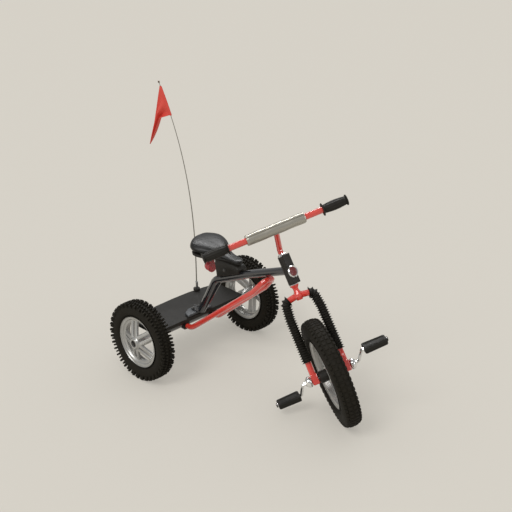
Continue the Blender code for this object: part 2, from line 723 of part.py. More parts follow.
def leg_path(side):
    """Centre line of one fork leg: out from the crown, over its shoulder and down to the axle."""
    top = LEG_SPREAD_TOP
    return rounded_path([
        (Vector((0.0, 0.0, CROWN_HEIGHT)), 0),
        (Vector((0.001, side * SHOULDER_OUT, CROWN_HEIGHT - SHOULDER_DROP)), LEG_BEND_RADIUS),
        (Vector((0.003, side * top, CROWN_HEIGHT - LEG_SPREAD_DROP)), 0.05),
        (Vector((FORK_OFFSET, side * LEG_SPREAD_BOTTOM, 0.0)), 0),
    ], 6)


def along_path(points, start, stop, count):
    """Evenly spaced points between two lengths along a path."""
    marks = [0.0]
    for a, b in zip(points, points[1:]):
        marks.append(marks[-1] + (b - a).length)
    found = []
    for i in range(count):
        want = start + (stop - start) * i / (count - 1)
        k = max(j for j in range(len(marks) - 1) if marks[j] <= want + 1e-9)
        share = (want - marks[k]) / (marks[k + 1] - marks[k])
        found.append(points[k].lerp(points[k + 1], share))
    return found


def path_length(points):
    return sum((b - a).length for a, b in zip(points, points[1:]))


def make_fork(finish, steering):
    legs = {side: leg_path(side) for side in (1, -1)}
    whole = legs[1][::-1] + legs[-1][1:]
    fork = place("fork", as_mesh(tube("fork_legs", whole, LEG_DIAMETER / 2, 3), "fork_legs"),
                 finish["red"], steering)
    nut_low = COVER_HIGH + 0.4 * COLLAR_HEIGHT + 2 * GAP
    neck = lathe("fork_neck", [
        (0.0, CROWN_HEIGHT - 0.016),
        (0.009, CROWN_HEIGHT - 0.0145),
        (0.0137, CROWN_HEIGHT - 0.005),
        (0.0130, CROWN_HEIGHT + 0.003),
        (NECK_WAIST_DIAMETER / 2, CROWN_HEIGHT + 0.014),
        (NECK_WAIST_DIAMETER / 2, COVER_LOW - 0.010),
        (NECK_DIAMETER / 2, COVER_LOW - 0.002),
        (NECK_DIAMETER / 2, COVER_LOW),
        (STEERER_DIAMETER / 2, COVER_LOW),
        (STEERER_DIAMETER / 2, nut_low - GAP),
        (0.0, nut_low - GAP),
    ], 14)
    join(fork, neck, steering, Y_TO_Z)
    half = DROPOUT_WIDTH / 2
    thick = DROPOUT_THICKNESS / 2
    for side in (1, -1):
        y = side * LEG_SPREAD_BOTTOM
        end = block(f"dropout_{side}", (FORK_OFFSET - half, y - thick, -DROPOUT_BELOW),
                    (FORK_OFFSET + half, y + thick, DROPOUT_ABOVE), 0.003)
        join(fork, end, steering)
    hole = cylinder("bush_holes", BUSH_DIAMETER / 2 + GAP, -0.1, 0.1, 16)
    cut(fork, hole, steering, Matrix.Translation((FORK_OFFSET, 0.0, 0.0)))
    quill = cylinder("quill_socket", QUILL_DIAMETER / 2 + GAP, COVER_HIGH - QUILL_DEPTH, COVER_HIGH + 0.03, 12)
    cut(fork, quill, steering, Y_TO_Z)
    for side, label in ((1, "left"), (-1, "right")):
        y = side * LEG_SPREAD_BOTTOM
        bush = ring(f"fork_bush_{label}", BUSH_DIAMETER / 2, CRANK_ROD_DIAMETER / 2 + GAP,
                    y - thick, y + thick, 16)
        place(f"fork_bush_{label}", bush, finish["white plastic"], steering,
              Matrix.Translation((FORK_OFFSET, 0.0, 0.0)))
    collar = ring("stem_collar", COLLAR_DIAMETER / 2, STEERER_DIAMETER / 2 + GAP,
                  COVER_HIGH + GAP, nut_low - GAP, 20)
    place("stem_collar", collar, finish["chrome"], steering, Y_TO_Z)
    nut = place("stem_nut", lathe("stem_nut", [
        (0.0, nut_low),
        (COLLAR_DIAMETER / 2, nut_low),
        (COLLAR_DIAMETER / 2, COVER_HIGH + 0.7 * COLLAR_HEIGHT),
        (COLLAR_DIAMETER / 2 - 0.0015, COVER_HIGH + COLLAR_HEIGHT),
        (0.0, COVER_HIGH + COLLAR_HEIGHT),
    ], 6), finish["chrome"], steering, Y_TO_Z)
    cut(nut, cylinder("nut_bore", QUILL_DIAMETER / 2 + GAP, nut_low - 0.01, COVER_HIGH + 0.03, 12), steering, Y_TO_Z)


def make_gaiters(finish, steering):
    """Ribbed rubber hoses over the fork legs, each with its bore; the right one starts further down."""
    for side, label in ((1, "left"), (-1, "right")):
        path = leg_path(side)
        total = path_length(path)
        stop = total - GAITER_LOW
        count = 2 * GAITER_RIBS + 1
        start = GAITER_START + (GAITER_SLIP if side < 0 else 0.0)
        spots = along_path(path, start, stop, count)
        groove = GAITER_GROOVE_DIAMETER / GAITER_DIAMETER
        shares = [groove if i % 2 == 0 else 1.0 for i in range(count)]
        ribbed = tube(f"gaiter_{label}", spots, GAITER_DIAMETER / 2, 2, shares)
        gaiter = place(f"gaiter_{label}", as_mesh(ribbed, f"gaiter_{label}", 20.0), finish["rubber"], steering)
        bore = as_mesh(tube("gaiter_bore", path, sleeve_radius(LEG_DIAMETER / 2, 3), 3), "gaiter_bore")
        cut(gaiter, bore, steering)


def stem_path():
    return rounded_path([
        (Vector((0.0, 0.0, COVER_HIGH + COLLAR_HEIGHT + GAP)), 0),
        (Vector((0.0, 0.0, COVER_HIGH + COLLAR_HEIGHT + 0.010)), 0.012),
        (Vector((BAR_REACH, 0.0, BAR_HEIGHT)), 0),
    ], 4)


def make_handlebar(finish, steering):
    half = BAR_LENGTH / 2 - GRIP_FLANGE_THICKNESS - GAP
    centre = Matrix.Translation((BAR_REACH, 0.0, BAR_HEIGHT))
    bar = place("handlebar", cylinder("handlebar", BAR_DIAMETER / 2, -half, half, 16), finish["red"],
                steering, centre)
    stem = as_mesh(tube("stem_tube", stem_path(), STEM_DIAMETER / 2, 4), "stem_tube")
    join(bar, stem, steering)
    quill = cylinder("stem_quill", QUILL_DIAMETER / 2, COVER_HIGH - QUILL_DEPTH + 0.002,
                     COVER_HIGH + COLLAR_HEIGHT + 0.004, 12)
    join(bar, quill, steering, Y_TO_Z)
    radius = PAD_DIAMETER / 2
    end = PAD_LENGTH / 2
    pad = place("bar_pad", ring("bar_pad", radius, BAR_DIAMETER / 2 + GAP, -end, end, 18, 0.002),
                finish["pad silver"], steering, centre)
    room = as_mesh(tube("stem_room", stem_path()[-2:], sleeve_radius(STEM_DIAMETER / 2, 4), 4), "stem_room")
    cut(pad, room, steering)
    for side, label in ((1, "left"), (-1, "right")):
        make_grip(finish, label, steering, centre @ Matrix.Rotation(0.0 if side > 0 else math.pi, 4, "Z"))


def make_grip(finish, label, steering, matrix):
    """Moulded grip: waisted at both ends, full in the middle, flanged, closed at its outer end."""
    inner = BAR_LENGTH / 2 - GRIP_LENGTH
    outer = BAR_LENGTH / 2
    bore = BAR_DIAMETER / 2 + GAP
    barrel = []
    steps = 5
    for i in range(steps + 1):
        t = i / steps
        radius = GRIP_WAIST_DIAMETER / 2 + (GRIP_DIAMETER - GRIP_WAIST_DIAMETER) / 2 * math.sin(math.pi * t)
        start = inner + GRIP_FLANGE_THICKNESS
        stop = outer - GRIP_FLANGE_THICKNESS
        barrel.append((radius, start + (stop - start) * t))
    profile = [(bore, inner), (GRIP_INNER_FLANGE / 2, inner + 0.0015),
               (GRIP_INNER_FLANGE / 2, inner + GRIP_FLANGE_THICKNESS)]
    profile += barrel
    profile += [(GRIP_OUTER_FLANGE / 2, outer - GRIP_FLANGE_THICKNESS), (GRIP_OUTER_FLANGE / 2, outer - 0.001),
                (GRIP_OUTER_FLANGE / 2 - 0.002, outer), (0.0, outer), (0.0, outer - GRIP_FLANGE_THICKNESS),
                (bore, outer - GRIP_FLANGE_THICKNESS)]
    grip = lathe_open(f"grip_{label}", profile, 16)
    place(f"grip_{label}", grip, finish["rubber"], steering, matrix)


def lathe_open(name, profile, steps):
    """Turned solid whose profile touches the axis part way round, so it still closes on itself."""
    start = next(i for i, (r, _) in enumerate(profile) if r == 0.0)
    turned = profile[start + 1:] + profile[:start + 1]
    return lathe(name, turned, steps)


# Front wheel, cranks and pedals

def crank_path():
    """Centre line of the one-piece crank rod, from the right pedal to the left."""
    angle = math.radians(CRANK_ANGLE)
    swing = Vector((math.cos(angle), 0.0, math.sin(angle))) * CRANK_LENGTH
    tip = PEDAL_INNER + PEDAL_LENGTH + 0.002
    out = Vector((0.0, 1.0, 0.0))
    return rounded_path([
        (swing - out * tip, 0),
        (swing - out * (CRANK_ARM_OUT + 0.002), CRANK_BEND_RADIUS * 0.6),
        (-out * CRANK_ARM_OUT, CRANK_BEND_RADIUS),
        (out * CRANK_ARM_OUT, CRANK_BEND_RADIUS),
        (-swing + out * (CRANK_ARM_OUT + 0.002), CRANK_BEND_RADIUS * 0.6),
        (-swing + out * tip, 0),
    ], 4)


def make_front_wheel(finish, axle):
    tyre = tyre_mesh("front_tyre", FRONT_TYRE_DIAMETER, FRONT_TYRE_WIDTH,
                     FRONT_BEAD_DIAMETER, FRONT_RIM_WIDTH, FRONT_LUGS)
    place("front_tyre", tyre, finish["tyre"], axle)
    hub_half = LEG_SPREAD_BOTTOM - DROPOUT_THICKNESS / 2 - 0.0015
    ring_half = 0.012
    hub_radius = FRONT_HUB_DIAMETER / 2
    profile = wheel_profile(FRONT_BEAD_DIAMETER, FRONT_RIM_WIDTH, FRONT_HUB_DIAMETER + 0.014,
                            hub_radius * 0.72 + GAP, ring_half, ring_half,
                            WEB_THICKNESS / 2 + 0.001, WEB_THICKNESS / 2)
    wheel = place("front_wheel", lathe("front_wheel", profile, 30), finish["silver"], axle)
    cut_spokes(wheel, FRONT_BEAD_DIAMETER, FRONT_HUB_DIAMETER + 0.014, SPOKE_PHASE, axle, None)
    bore = CRANK_ROD_DIAMETER / 2 + GAP
    core = lathe("front_hub", [
        (bore, -hub_half),
        (hub_radius * 0.6, -hub_half),
        (hub_radius, -hub_half + 0.004),
        (hub_radius, -ring_half - GAP),
        (hub_radius * 0.72, -ring_half - GAP),
        (hub_radius * 0.72, ring_half + 0.014),
        (hub_radius * 0.6, hub_half),
        (bore, hub_half),
    ], 20)
    place("front_hub", core, finish["black plastic"], axle)
    place("crank_axle", tube("crank_axle", crank_path(), CRANK_ROD_DIAMETER / 2, 3), finish["chrome"], axle)
    boss_in = LEG_SPREAD_BOTTOM + DROPOUT_THICKNESS / 2 + 2 * GAP
    for side, label in ((1, "left"), (-1, "right")):
        turn = Matrix.Rotation(0.0 if side > 0 else math.pi, 4, "Z")
        boss_out = boss_in + BOSS_LENGTH
        boss = lathe(f"crank_boss_{label}", [
            (bore, boss_in),
            (BOSS_NECK_DIAMETER / 2, boss_in),
            (BOSS_NECK_DIAMETER / 2, boss_out - BOSS_FLANGE - 0.002),
            (BOSS_DIAMETER / 2, boss_out - BOSS_FLANGE),
            (BOSS_DIAMETER / 2, boss_out - BOSS_FLANGE * 0.6),
            (BOSS_DIAMETER * 0.32, boss_out),
            (bore, boss_out),
        ], 20)
        place(f"crank_boss_{label}", boss, finish["chrome"], axle, turn)
    return tyre


def make_pedals(finish, axle):
    angle = math.radians(CRANK_ANGLE)
    for side, label in ((1, "left"), (-1, "right")):
        swing = Vector((math.cos(angle), 0.0, math.sin(angle))) * (-side * CRANK_LENGTH)
        level = Matrix.Rotation(math.radians(-HEAD_ANGLE), 4, "Y").inverted()
        turn = Matrix.Rotation(0.0 if side > 0 else math.pi, 4, "Z")
        pedal_axis = empty(f"pedal_{label}_axis", axle, Matrix.Translation(swing) @ level @ turn)
        half_w = PEDAL_WIDTH / 2
        half_t = PEDAL_THICKNESS / 2
        outer = PEDAL_INNER + PEDAL_LENGTH
        taper = 0.86
        outline = [(-half_w, PEDAL_INNER), (half_w, PEDAL_INNER), (half_w * taper, outer), (-half_w * taper, outer)]
        body = eased(prism(f"pedal_{label}", outline, -half_t, half_t), 0.003)
        pedal = place(f"pedal_{label}", body, finish["rubber"], pedal_axis)
        for i in (-1, 0, 1):
            x = i * half_w * 0.42
            for top in (1, -1):
                low, high = sorted((top * (half_t - 0.002), top * (half_t + 0.01)))
                groove = block(f"pedal_groove_{label}_{i}_{top}", (x - 0.0015, PEDAL_INNER + 0.004, low),
                               (x + 0.0015, outer - 0.004, high))
                cut(pedal, groove, pedal_axis)
        spindle = cylinder("pedal_bore", CRANK_ROD_DIAMETER / 2 + GAP, PEDAL_INNER - 0.02, outer - 0.003, 16)
        cut(pedal, spindle, pedal_axis)
        recess = cylinder("cap_seat", CRANK_ROD_DIAMETER / 2 + 0.0025, outer - 0.003 - GAP, outer + 0.02, 16)
        cut(pedal, recess, pedal_axis)
        cap = lathe(f"pedal_cap_{label}", [
            (0.0, outer + 0.002 + GAP),
            (CRANK_ROD_DIAMETER / 2 + 0.002, outer + 0.002 + GAP),
            (CRANK_ROD_DIAMETER / 2 + 0.001, outer + 0.005),
            (0.0, outer + 0.0055),
        ], 16)
        place(f"pedal_cap_{label}", cap, finish["chrome"], pedal_axis)


# Seat

def seat_half_width(t):
    """Half width of the saddle along its length, t = 0 at the rear and 1 at the nose."""
    flare = SEAT_HALF_WIDTH - SEAT_NOSE_HALF_WIDTH
    narrowing = 1 / (1 + math.exp((t - 0.50) * 11))
    width = SEAT_NOSE_HALF_WIDTH + flare * narrowing
    rear = math.sqrt(max(0.0, 1 - max(0.0, (0.24 - t) / 0.24) ** 2.2))
    nose = math.sqrt(max(0.0, 1 - max(0.0, (t - 0.90) / 0.10) ** 2))
    return width * rear * nose


def cushion_height(t):
    """Height of the cushion over its shell: full and a little kicked up at the rear, low at the nose."""
    fall = 0.5 - 0.5 * math.cos(math.pi * min(1.0, max(0.0, (t - 0.12) / 0.80)))
    return CUSHION_REAR_HEIGHT + (CUSHION_NOSE_HEIGHT - CUSHION_REAR_HEIGHT) * fall


def make_seat(finish, deck_top):
    length = SEAT_NOSE - SEAT_REAR
    floor = SEAT_BOTTOM + SEAT_SHELL_THICKNESS + GAP
    rings = 18
    around = 20
    bm = bmesh.new()
    loops = []
    for i in range(1, rings):
        t = 0.5 - 0.5 * math.cos(math.pi * i / rings)
        x = REAR_AXLE_X + SEAT_REAR + length * t
        half = seat_half_width(t)
        edge = min(1.0, half / seat_half_width(0.3) + 0.35)
        high = cushion_height(t) * edge
        loop = []
        for j in range(around):
            a = math.tau * j / around
            across = math.copysign(abs(math.cos(a)) ** 0.75, math.cos(a))
            rise = math.copysign(abs(math.sin(a)) ** 0.75, math.sin(a))
            drawn = 1.0 if rise >= 0 else 1.0 + 0.14 * rise
            middle = 0.42 * high
            z = middle + rise * (high - middle if rise >= 0 else middle)
            loop.append(bm.verts.new((x, half * across * drawn, floor + z)))
        loops.append(loop)
    for a, b in zip(loops, loops[1:]):
        bmesh.ops.bridge_loops(bm, edges=ring_edges(bm, a) + ring_edges(bm, b))
    for loop in (loops[0], loops[-1]):
        bm.faces.new(loop)
    place("seat_cushion", finish_mesh(bm, "seat_cushion", 60.0), finish["seat vinyl"])
    outline = []
    steps = 14
    for side in (1, -1):
        for i in range(steps + 1):
            t = i / steps if side > 0 else 1 - i / steps
            t = 0.02 + 0.96 * t
            half = max(0.004, seat_half_width(t) - SEAT_SHELL_INSET)
            outline.append((REAR_AXLE_X + SEAT_REAR + length * t, side * half))
    shell = prism("seat_shell", outline, SEAT_BOTTOM, SEAT_BOTTOM + SEAT_SHELL_THICKNESS)
    place("seat_shell", shell, finish["black plastic"])
    x = REAR_AXLE_X
    top = SEAT_BOTTOM - GAP
    rear, front = SEAT_BRACKET_REAR, SEAT_BRACKET_FRONT
    heel = rear + 0.008
    side_view = [(x + rear, top), (x + rear - 0.001, top - 0.020), (x + heel, tube_height(heel) + SEAT_BRACKET_SEAT),
                 (x + front, tube_height(front) + SEAT_BRACKET_SEAT), (x + front, top - 0.007), (x + front - 0.008, top)]
    half = SEAT_BRACKET_WIDTH / 2
    bracket = place("seat_bracket", eased(prism("seat_bracket", side_view, -half, half, "Y"), 0.004, 2),
                    finish["black plastic"])
    saddle = as_mesh(tube("saddle_cut", main_tube_path(deck_top), sleeve_radius(MAIN_TUBE_DIAMETER / 2, 6), 6), "saddle_cut")
    cut(bracket, saddle)
    make_lamp(finish)


def make_lamp(finish):
    """Round red reflector under the back of the seat, in a cupped holder with an arm to the shell."""
    spot = Matrix.Translation(from_rear(LAMP_X, 0.0, LAMP_Z)) @ Matrix.Rotation(math.radians(90), 4, "Z")
    radius = LAMP_DIAMETER / 2
    lens = lathe("reflector_lens", [(0.0, 0.0), (radius, 0.0), (radius, LAMP_DEPTH * 0.55),
                                    (radius * 0.8, LAMP_DEPTH * 0.9), (0.0, LAMP_DEPTH)], 16)
    place("reflector_lens", lens, finish["lens red"], None, spot)
    holder = place("reflector_holder", cylinder("reflector_holder", radius + 0.0015, -0.007, -GAP, 16),
                   finish["lens red"], None, spot)
    x = REAR_AXLE_X + LAMP_X
    arm = block("reflector_arm", (x + 0.001, -0.008, LAMP_Z), (x + 0.0065, 0.008, SEAT_BOTTOM - GAP))
    join(holder, arm)


def ring_edges(bm, loop):
    edges = []
    for a, b in zip(loop, loop[1:] + loop[:1]):
        edges.append(bm.edges.get((a, b)) or bm.edges.new((a, b)))
    return edges


# Flag

def pole_point(t, base):
    """The whip's centre line: straight out of its ferrule, then bending to the rear."""
    return base + Vector((-POLE_BEND * t ** POLE_CURL, 0.0, POLE_HEIGHT * t))


def make_flag(finish, deck_top):
    base = from_rear(-FLAG_BASE_X, FLAG_BASE_Y, deck_top + GAP)
    bracket = ring("flag_bracket", FLAG_BRACKET_DIAMETER / 2, POLE_DIAMETER / 2 + GAP,
                   0.0, FLAG_BRACKET_HEIGHT, 12, 0.0015)
    place("flag_bracket", bracket, finish["black plastic"], None, Matrix.Translation(base) @ Y_TO_Z)
    ferrule_low = FLAG_BRACKET_HEIGHT + GAP
    ferrule = ring("flag_ferrule", FERRULE_DIAMETER / 2, POLE_DIAMETER / 2 + GAP,
                   ferrule_low, ferrule_low + FERRULE_LENGTH, 12, 0.001)
    place("flag_ferrule", ferrule, finish["chrome"], None, Matrix.Translation(base) @ Y_TO_Z)
    start = base + Vector((0.0, 0.0, 0.002))
    foot = ferrule_low + FERRULE_LENGTH
    above = base + Vector((0.0, 0.0, foot))
    count = 20
    points = [start] + [pole_point(i / count, above) for i in range(count + 1)]
    place("flag_pole", tube("flag_pole", points, POLE_DIAMETER / 2, 1), finish["pole"])
    top = points[-1]
    lean = (points[-1] - points[-2]).normalized()
    wide = FLAG_TIP_DIAMETER / 2
    long = FLAG_TIP_LENGTH
    tip = lathe("flag_tip", [(0.0, 0.0), (wide * 0.7, 0.0), (wide, long * 0.3), (wide * 0.83, long * 0.77), (0.0, long)], 12)
    aim = lean.to_track_quat("Y", "Z").to_matrix().to_4x4()
    place("flag_tip", tip, finish["black plastic"], None, Matrix.Translation(top + lean * GAP) @ aim)
    make_pennant(finish, points)


def make_pennant(finish, pole):
    """Three-cornered pennant hung from its hem behind the whip, its free corner fallen in folds."""
    total = path_length(pole)
    columns = 10
    rows = 12
    beside = Vector((-POLE_DIAMETER / 2 - FLAG_THICKNESS / 2 - 2 * GAP, 0.0, 0.0))
    hoist = along_path(pole, total - FLAG_TOP_GAP - FLAG_HOIST, total - FLAG_TOP_GAP, rows + 1)
    low = hoist[0]
    corner = low + Vector((-FLAG_REACH, -0.004, -FLAG_DROP))
    bm = bmesh.new()
    sheet = []
    for j, start in enumerate(hoist):
        a = 1 - j / rows
        line = []
        for i in range(columns + 1):
            b = i / columns
            spot = (start + beside).lerp(corner, b)
            lift = b / FLAG_NOTCH_AT if b < FLAG_NOTCH_AT else ((1 - b) / (1 - FLAG_NOTCH_AT)) ** 2.2
            spot.z += FLAG_NOTCH * lift * a
            fold = math.sin(2.2 * math.pi * a + 1.4 * b) * b * (1.05 - b)
            spot.y += FLAG_WAVE * fold
            line.append(spot)
        sheet.append(line)
    verts = [[bm.verts.new(p) for p in line[:-1]] for line in sheet]
    point = bm.verts.new(sheet[rows // 2][-1])
    for left, right in zip(verts, verts[1:]):
        for i in range(columns - 1):
            bm.faces.new((left[i], left[i + 1], right[i + 1], right[i]))
        bm.faces.new((left[-1], point, right[-1]))
    mesh = finish_mesh(bm, "flag", 80.0)
    flag = place("flag", mesh, finish["flag red"])
    thick = flag.modifiers.new("Cloth", "SOLIDIFY")
    thick.thickness = FLAG_THICKNESS
    thick.offset = 0.0


# The whole tricycle

def main():
    for item in list(bpy.data.objects):
        bpy.data.objects.remove(item)
    finish = make_finishes()

    test_tyre = tyre_mesh("stance", REAR_TYRE_DIAMETER, REAR_TYRE_WIDTH,
                          REAR_BEAD_DIAMETER, REAR_RIM_WIDTH, REAR_LUGS)
    rear_height = lowest(test_tyre, Matrix.Identity(4))
    bpy.data.meshes.remove(test_tyre)
    deck_top = rear_height + REAR_AXLE_TUBE_DIAMETER / 2 + 2 * GAP + DECK_SHEET
    make_rear_axle(finish, rear_height)
    for side in (1, -1):
        make_rear_wheel(finish, side, rear_height)
    make_deck(finish, deck_top, rear_height)

    lean = Matrix.Rotation(math.radians(-HEAD_ANGLE), 4, "Y")
    steer = Matrix.Rotation(math.radians(-STEER_ANGLE), 4, "Z")
    turned = lean @ steer
    offset = Vector((FORK_OFFSET, 0.0, 0.0))
    test_tyre = tyre_mesh("stance", FRONT_TYRE_DIAMETER, FRONT_TYRE_WIDTH,
                          FRONT_BEAD_DIAMETER, FRONT_RIM_WIDTH, FRONT_LUGS)
    front_height = lowest(test_tyre, turned)
    bpy.data.meshes.remove(test_tyre)
    straight = lean @ offset
    foot_x = REAR_AXLE_X + WHEELBASE - straight.x
    foot_z = front_height - (turned @ offset).z
    steering_matrix = Matrix.Translation((foot_x, 0.0, foot_z)) @ turned
    steering = empty("steering_axis", None, steering_matrix)
    head = head_space(steering_matrix)

    make_frame(finish, deck_top, head)
    make_loop(finish, deck_top, rear_height)
    make_head(finish, head, deck_top)
    make_fork(finish, steering)
    make_gaiters(finish, steering)
    make_handlebar(finish, steering)
    axle = empty("front_axle_axis", steering, Matrix.Translation(offset))
    make_front_wheel(finish, axle)
    make_pedals(finish, axle)
    make_seat(finish, deck_top)
    make_flag(finish, deck_top)

    bpy.context.view_layer.update()
    axis = steering_matrix.col[2].xyz
    print("steering axis through", [round(v, 5) for v in steering_matrix.translation], "along",
          [round(v, 5) for v in axis])
    print("front axle at", [round(v, 5) for v in axle.matrix_world.translation], "along",
          [round(v, 5) for v in steering_matrix.col[1].xyz])
    print("rear axle height", round(rear_height, 5), "deck top", round(deck_top, 5))
    for label in ("left", "right"):
        pivot = bpy.data.objects[f"pedal_{label}_axis"].matrix_world.translation
        print("pedal", label, "at", [round(v, 5) for v in pivot])


main()
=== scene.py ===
"""Child's pedal tricycle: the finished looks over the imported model.

Metres, +X forward, +Y to the rider's left, +Z up, ground at z = 0.
"""
import math

import bmesh
import bpy
from mathutils import Matrix, Vector


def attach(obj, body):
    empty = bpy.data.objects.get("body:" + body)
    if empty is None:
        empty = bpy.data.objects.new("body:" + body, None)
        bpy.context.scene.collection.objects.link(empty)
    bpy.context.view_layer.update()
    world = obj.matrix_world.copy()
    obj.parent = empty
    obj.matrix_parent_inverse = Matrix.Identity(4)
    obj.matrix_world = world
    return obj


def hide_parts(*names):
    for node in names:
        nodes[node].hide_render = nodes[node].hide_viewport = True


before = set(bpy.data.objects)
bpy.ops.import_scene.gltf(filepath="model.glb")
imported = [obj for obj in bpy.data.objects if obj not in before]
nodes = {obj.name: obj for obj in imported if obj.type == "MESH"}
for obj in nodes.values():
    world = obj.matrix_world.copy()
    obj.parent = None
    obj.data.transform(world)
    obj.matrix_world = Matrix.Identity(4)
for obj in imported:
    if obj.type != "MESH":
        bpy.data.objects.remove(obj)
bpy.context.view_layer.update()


# Camera
# The photograph looks down on the right front of the tricycle from about four metres away.
# A long lens keeps the wheels nearly free of perspective.

def added(name, data):
    """A new object in the scene."""
    made = bpy.data.objects.new(name, data)
    bpy.context.scene.collection.objects.link(made)
    return made


view_turn = math.radians(45)
view_drop = math.radians(25)
view_back = Vector((math.sin(view_turn) * math.cos(view_drop), -math.cos(view_turn) * math.cos(view_drop),
                    math.sin(view_drop)))
view_right = Vector((math.cos(view_turn), math.sin(view_turn), 0.0))
view_up = view_back.cross(view_right)
view_centre = Vector((-0.20581, 0.26422, 0.250))
view_distance = 3.94674
lens = bpy.data.cameras.new("camera")
lens.lens = 85
lens.sensor_width = 36
lens.clip_end = 90
camera = added("camera", lens)
stand = Matrix((view_right, view_up, view_back)).transposed().to_4x4()
stand.translation = view_centre + view_back * view_distance
camera.matrix_world = stand
bpy.context.scene.camera = camera
bpy.context.scene.view_settings.view_transform = "Standard"


# Studio floor and light
# A wide pale paper floor under even light, with a soft key from the camera's left.
# Three long boxes show only in reflections, for the enamel and the chrome.

def node(tree, kind, spot, inputs=None, **settings):
    """A node at its spot in a tree, with its settings and the values of its inputs."""
    made = tree.nodes.new(kind)
    made.location = spot
    for name, value in settings.items():
        setattr(made, name, value)
    for socket, value in (inputs or {}).items():
        made.inputs[socket].default_value = value
    return made


def wire(tree, *runs):
    """Join nodes; each run is a node, its output, the next node and its input."""
    for start, output, end, entry in runs:
        tree.links.new(start.outputs[output], end.inputs[entry])


floor_mesh = bpy.data.meshes.new("studio_floor")
reach = 45.0
floor_corners = [(-reach, -reach, 0.0), (reach, -reach, 0.0), (reach, reach, 0.0), (-reach, reach, 0.0)]
floor_mesh.from_pydata(floor_corners, [], [(0, 1, 2, 3)])
floor = added("studio_floor", floor_mesh)
paper_colour = (0.672, 0.638, 0.571, 1.0)
glow_share = 0.46
paper = bpy.data.materials.new("studio paper")
paper.use_nodes = True
paper_shader = paper.node_tree.nodes["Principled BSDF"]
paper_shader.inputs["Base Color"].default_value = paper_colour
paper_shader.inputs["Roughness"].default_value = 0.9
paper_shader.inputs["Specular IOR Level"].default_value = 0.1
floor_mesh.materials.append(paper)
seen_ray = node(paper.node_tree, "ShaderNodeLightPath", (-700, 400))
seen_or_mirrored = node(paper.node_tree, "ShaderNodeMath", (-450, 400), operation="MAXIMUM")
seen_or_through = node(paper.node_tree, "ShaderNodeMath", (-250, 400), operation="MAXIMUM")
paper_share = node(paper.node_tree, "ShaderNodeMath", (-50, 400), operation="MULTIPLY",
                   inputs={1: glow_share})
paper_glow = node(paper.node_tree, "ShaderNodeEmission", (0, 200), inputs={"Color": paper_colour})
paper_mix = node(paper.node_tree, "ShaderNodeMixShader", (300, 200))
wire(paper.node_tree, (seen_ray, "Is Camera Ray", seen_or_mirrored, 0),
     (seen_ray, "Is Glossy Ray", seen_or_mirrored, 1), (seen_or_mirrored, 0, seen_or_through, 0),
     (seen_ray, "Is Transmission Ray", seen_or_through, 1), (seen_or_through, 0, paper_share, 0),
     (paper_share, 0, paper_mix, 0), (paper_shader, 0, paper_mix, 1), (paper_glow, 0, paper_mix, 2),
     (paper_mix, 0, paper.node_tree.nodes["Material Output"], "Surface"))

world = bpy.data.worlds.new("studio")
bpy.context.scene.world = world
world.use_nodes = True
sky = world.node_tree.nodes["Background"]
sky.inputs["Color"].default_value = (1.0, 1.0, 1.0, 1.0)
ray = node(world.node_tree, "ShaderNodeLightPath", (-600, 0))
level = node(world.node_tree, "ShaderNodeMapRange", (-300, 0), inputs={"To Min": 0.74, "To Max": 0.42})
wire(world.node_tree, (ray, "Is Glossy Ray", level, "Value"), (level, "Result", sky, "Strength"))

key = bpy.data.lights.new("key", "SUN")
key.angle = math.radians(24)
key.energy = 1.16
key_lamp = added("key", key)
key_turn = math.radians(8)
key_drop = math.radians(47)
key_side = Vector((math.sin(key_turn) * math.cos(key_drop), -math.cos(key_turn) * math.cos(key_drop),
                   math.sin(key_drop)))
key_lamp.rotation_euler = key_side.to_track_quat("Z", "Y").to_euler()


def soft_box(name, spot, aim, width, height, power):
    """A box that only shows as a reflection, so the floor stays even."""
    light = bpy.data.lights.new(name, "AREA")
    light.shape = "RECTANGLE"
    light.size = width
    light.size_y = height
    light.energy = power
    box = added(name, light)
    box.visible_diffuse = False
    box.location = spot
    box.rotation_euler = (Vector(aim) - Vector(spot)).to_track_quat("-Z", "Y").to_euler()


soft_box("overhead_box", (-1.5, 1.1, 2.7), (0.0, 0.0, 0.25), width=2.8, height=0.45, power=84)
soft_box("side_box", (-0.6, -3.0, 1.4), (0.0, 0.0, 0.3), width=0.5, height=2.2, power=30)
soft_box("front_box", (3.0, 0.9, 2.0), (0.1, 0.0, 0.3), width=0.6, height=2.2, power=24)


# Tyres
# Moulded black rubber with a band of knobs, pressed over the rims.
# The rear pair has tall open knobs, the front tyre lower blocks set closer together.

def shared_group(name, inputs, outputs):
    """A shader node group with its named sockets, and the group's input and output nodes."""
    tree = bpy.data.node_groups.new(name, "ShaderNodeTree")
    for label, start in inputs:
        made = tree.interface.new_socket(label, in_out="INPUT", socket_type="NodeSocketFloat")
        made.default_value = start
    for label in outputs:
        tree.interface.new_socket(label, in_out="OUTPUT", socket_type="NodeSocketFloat")
    return tree, node(tree, "NodeGroupInput", (-900, 0)), node(tree, "NodeGroupOutput", (600, 0))


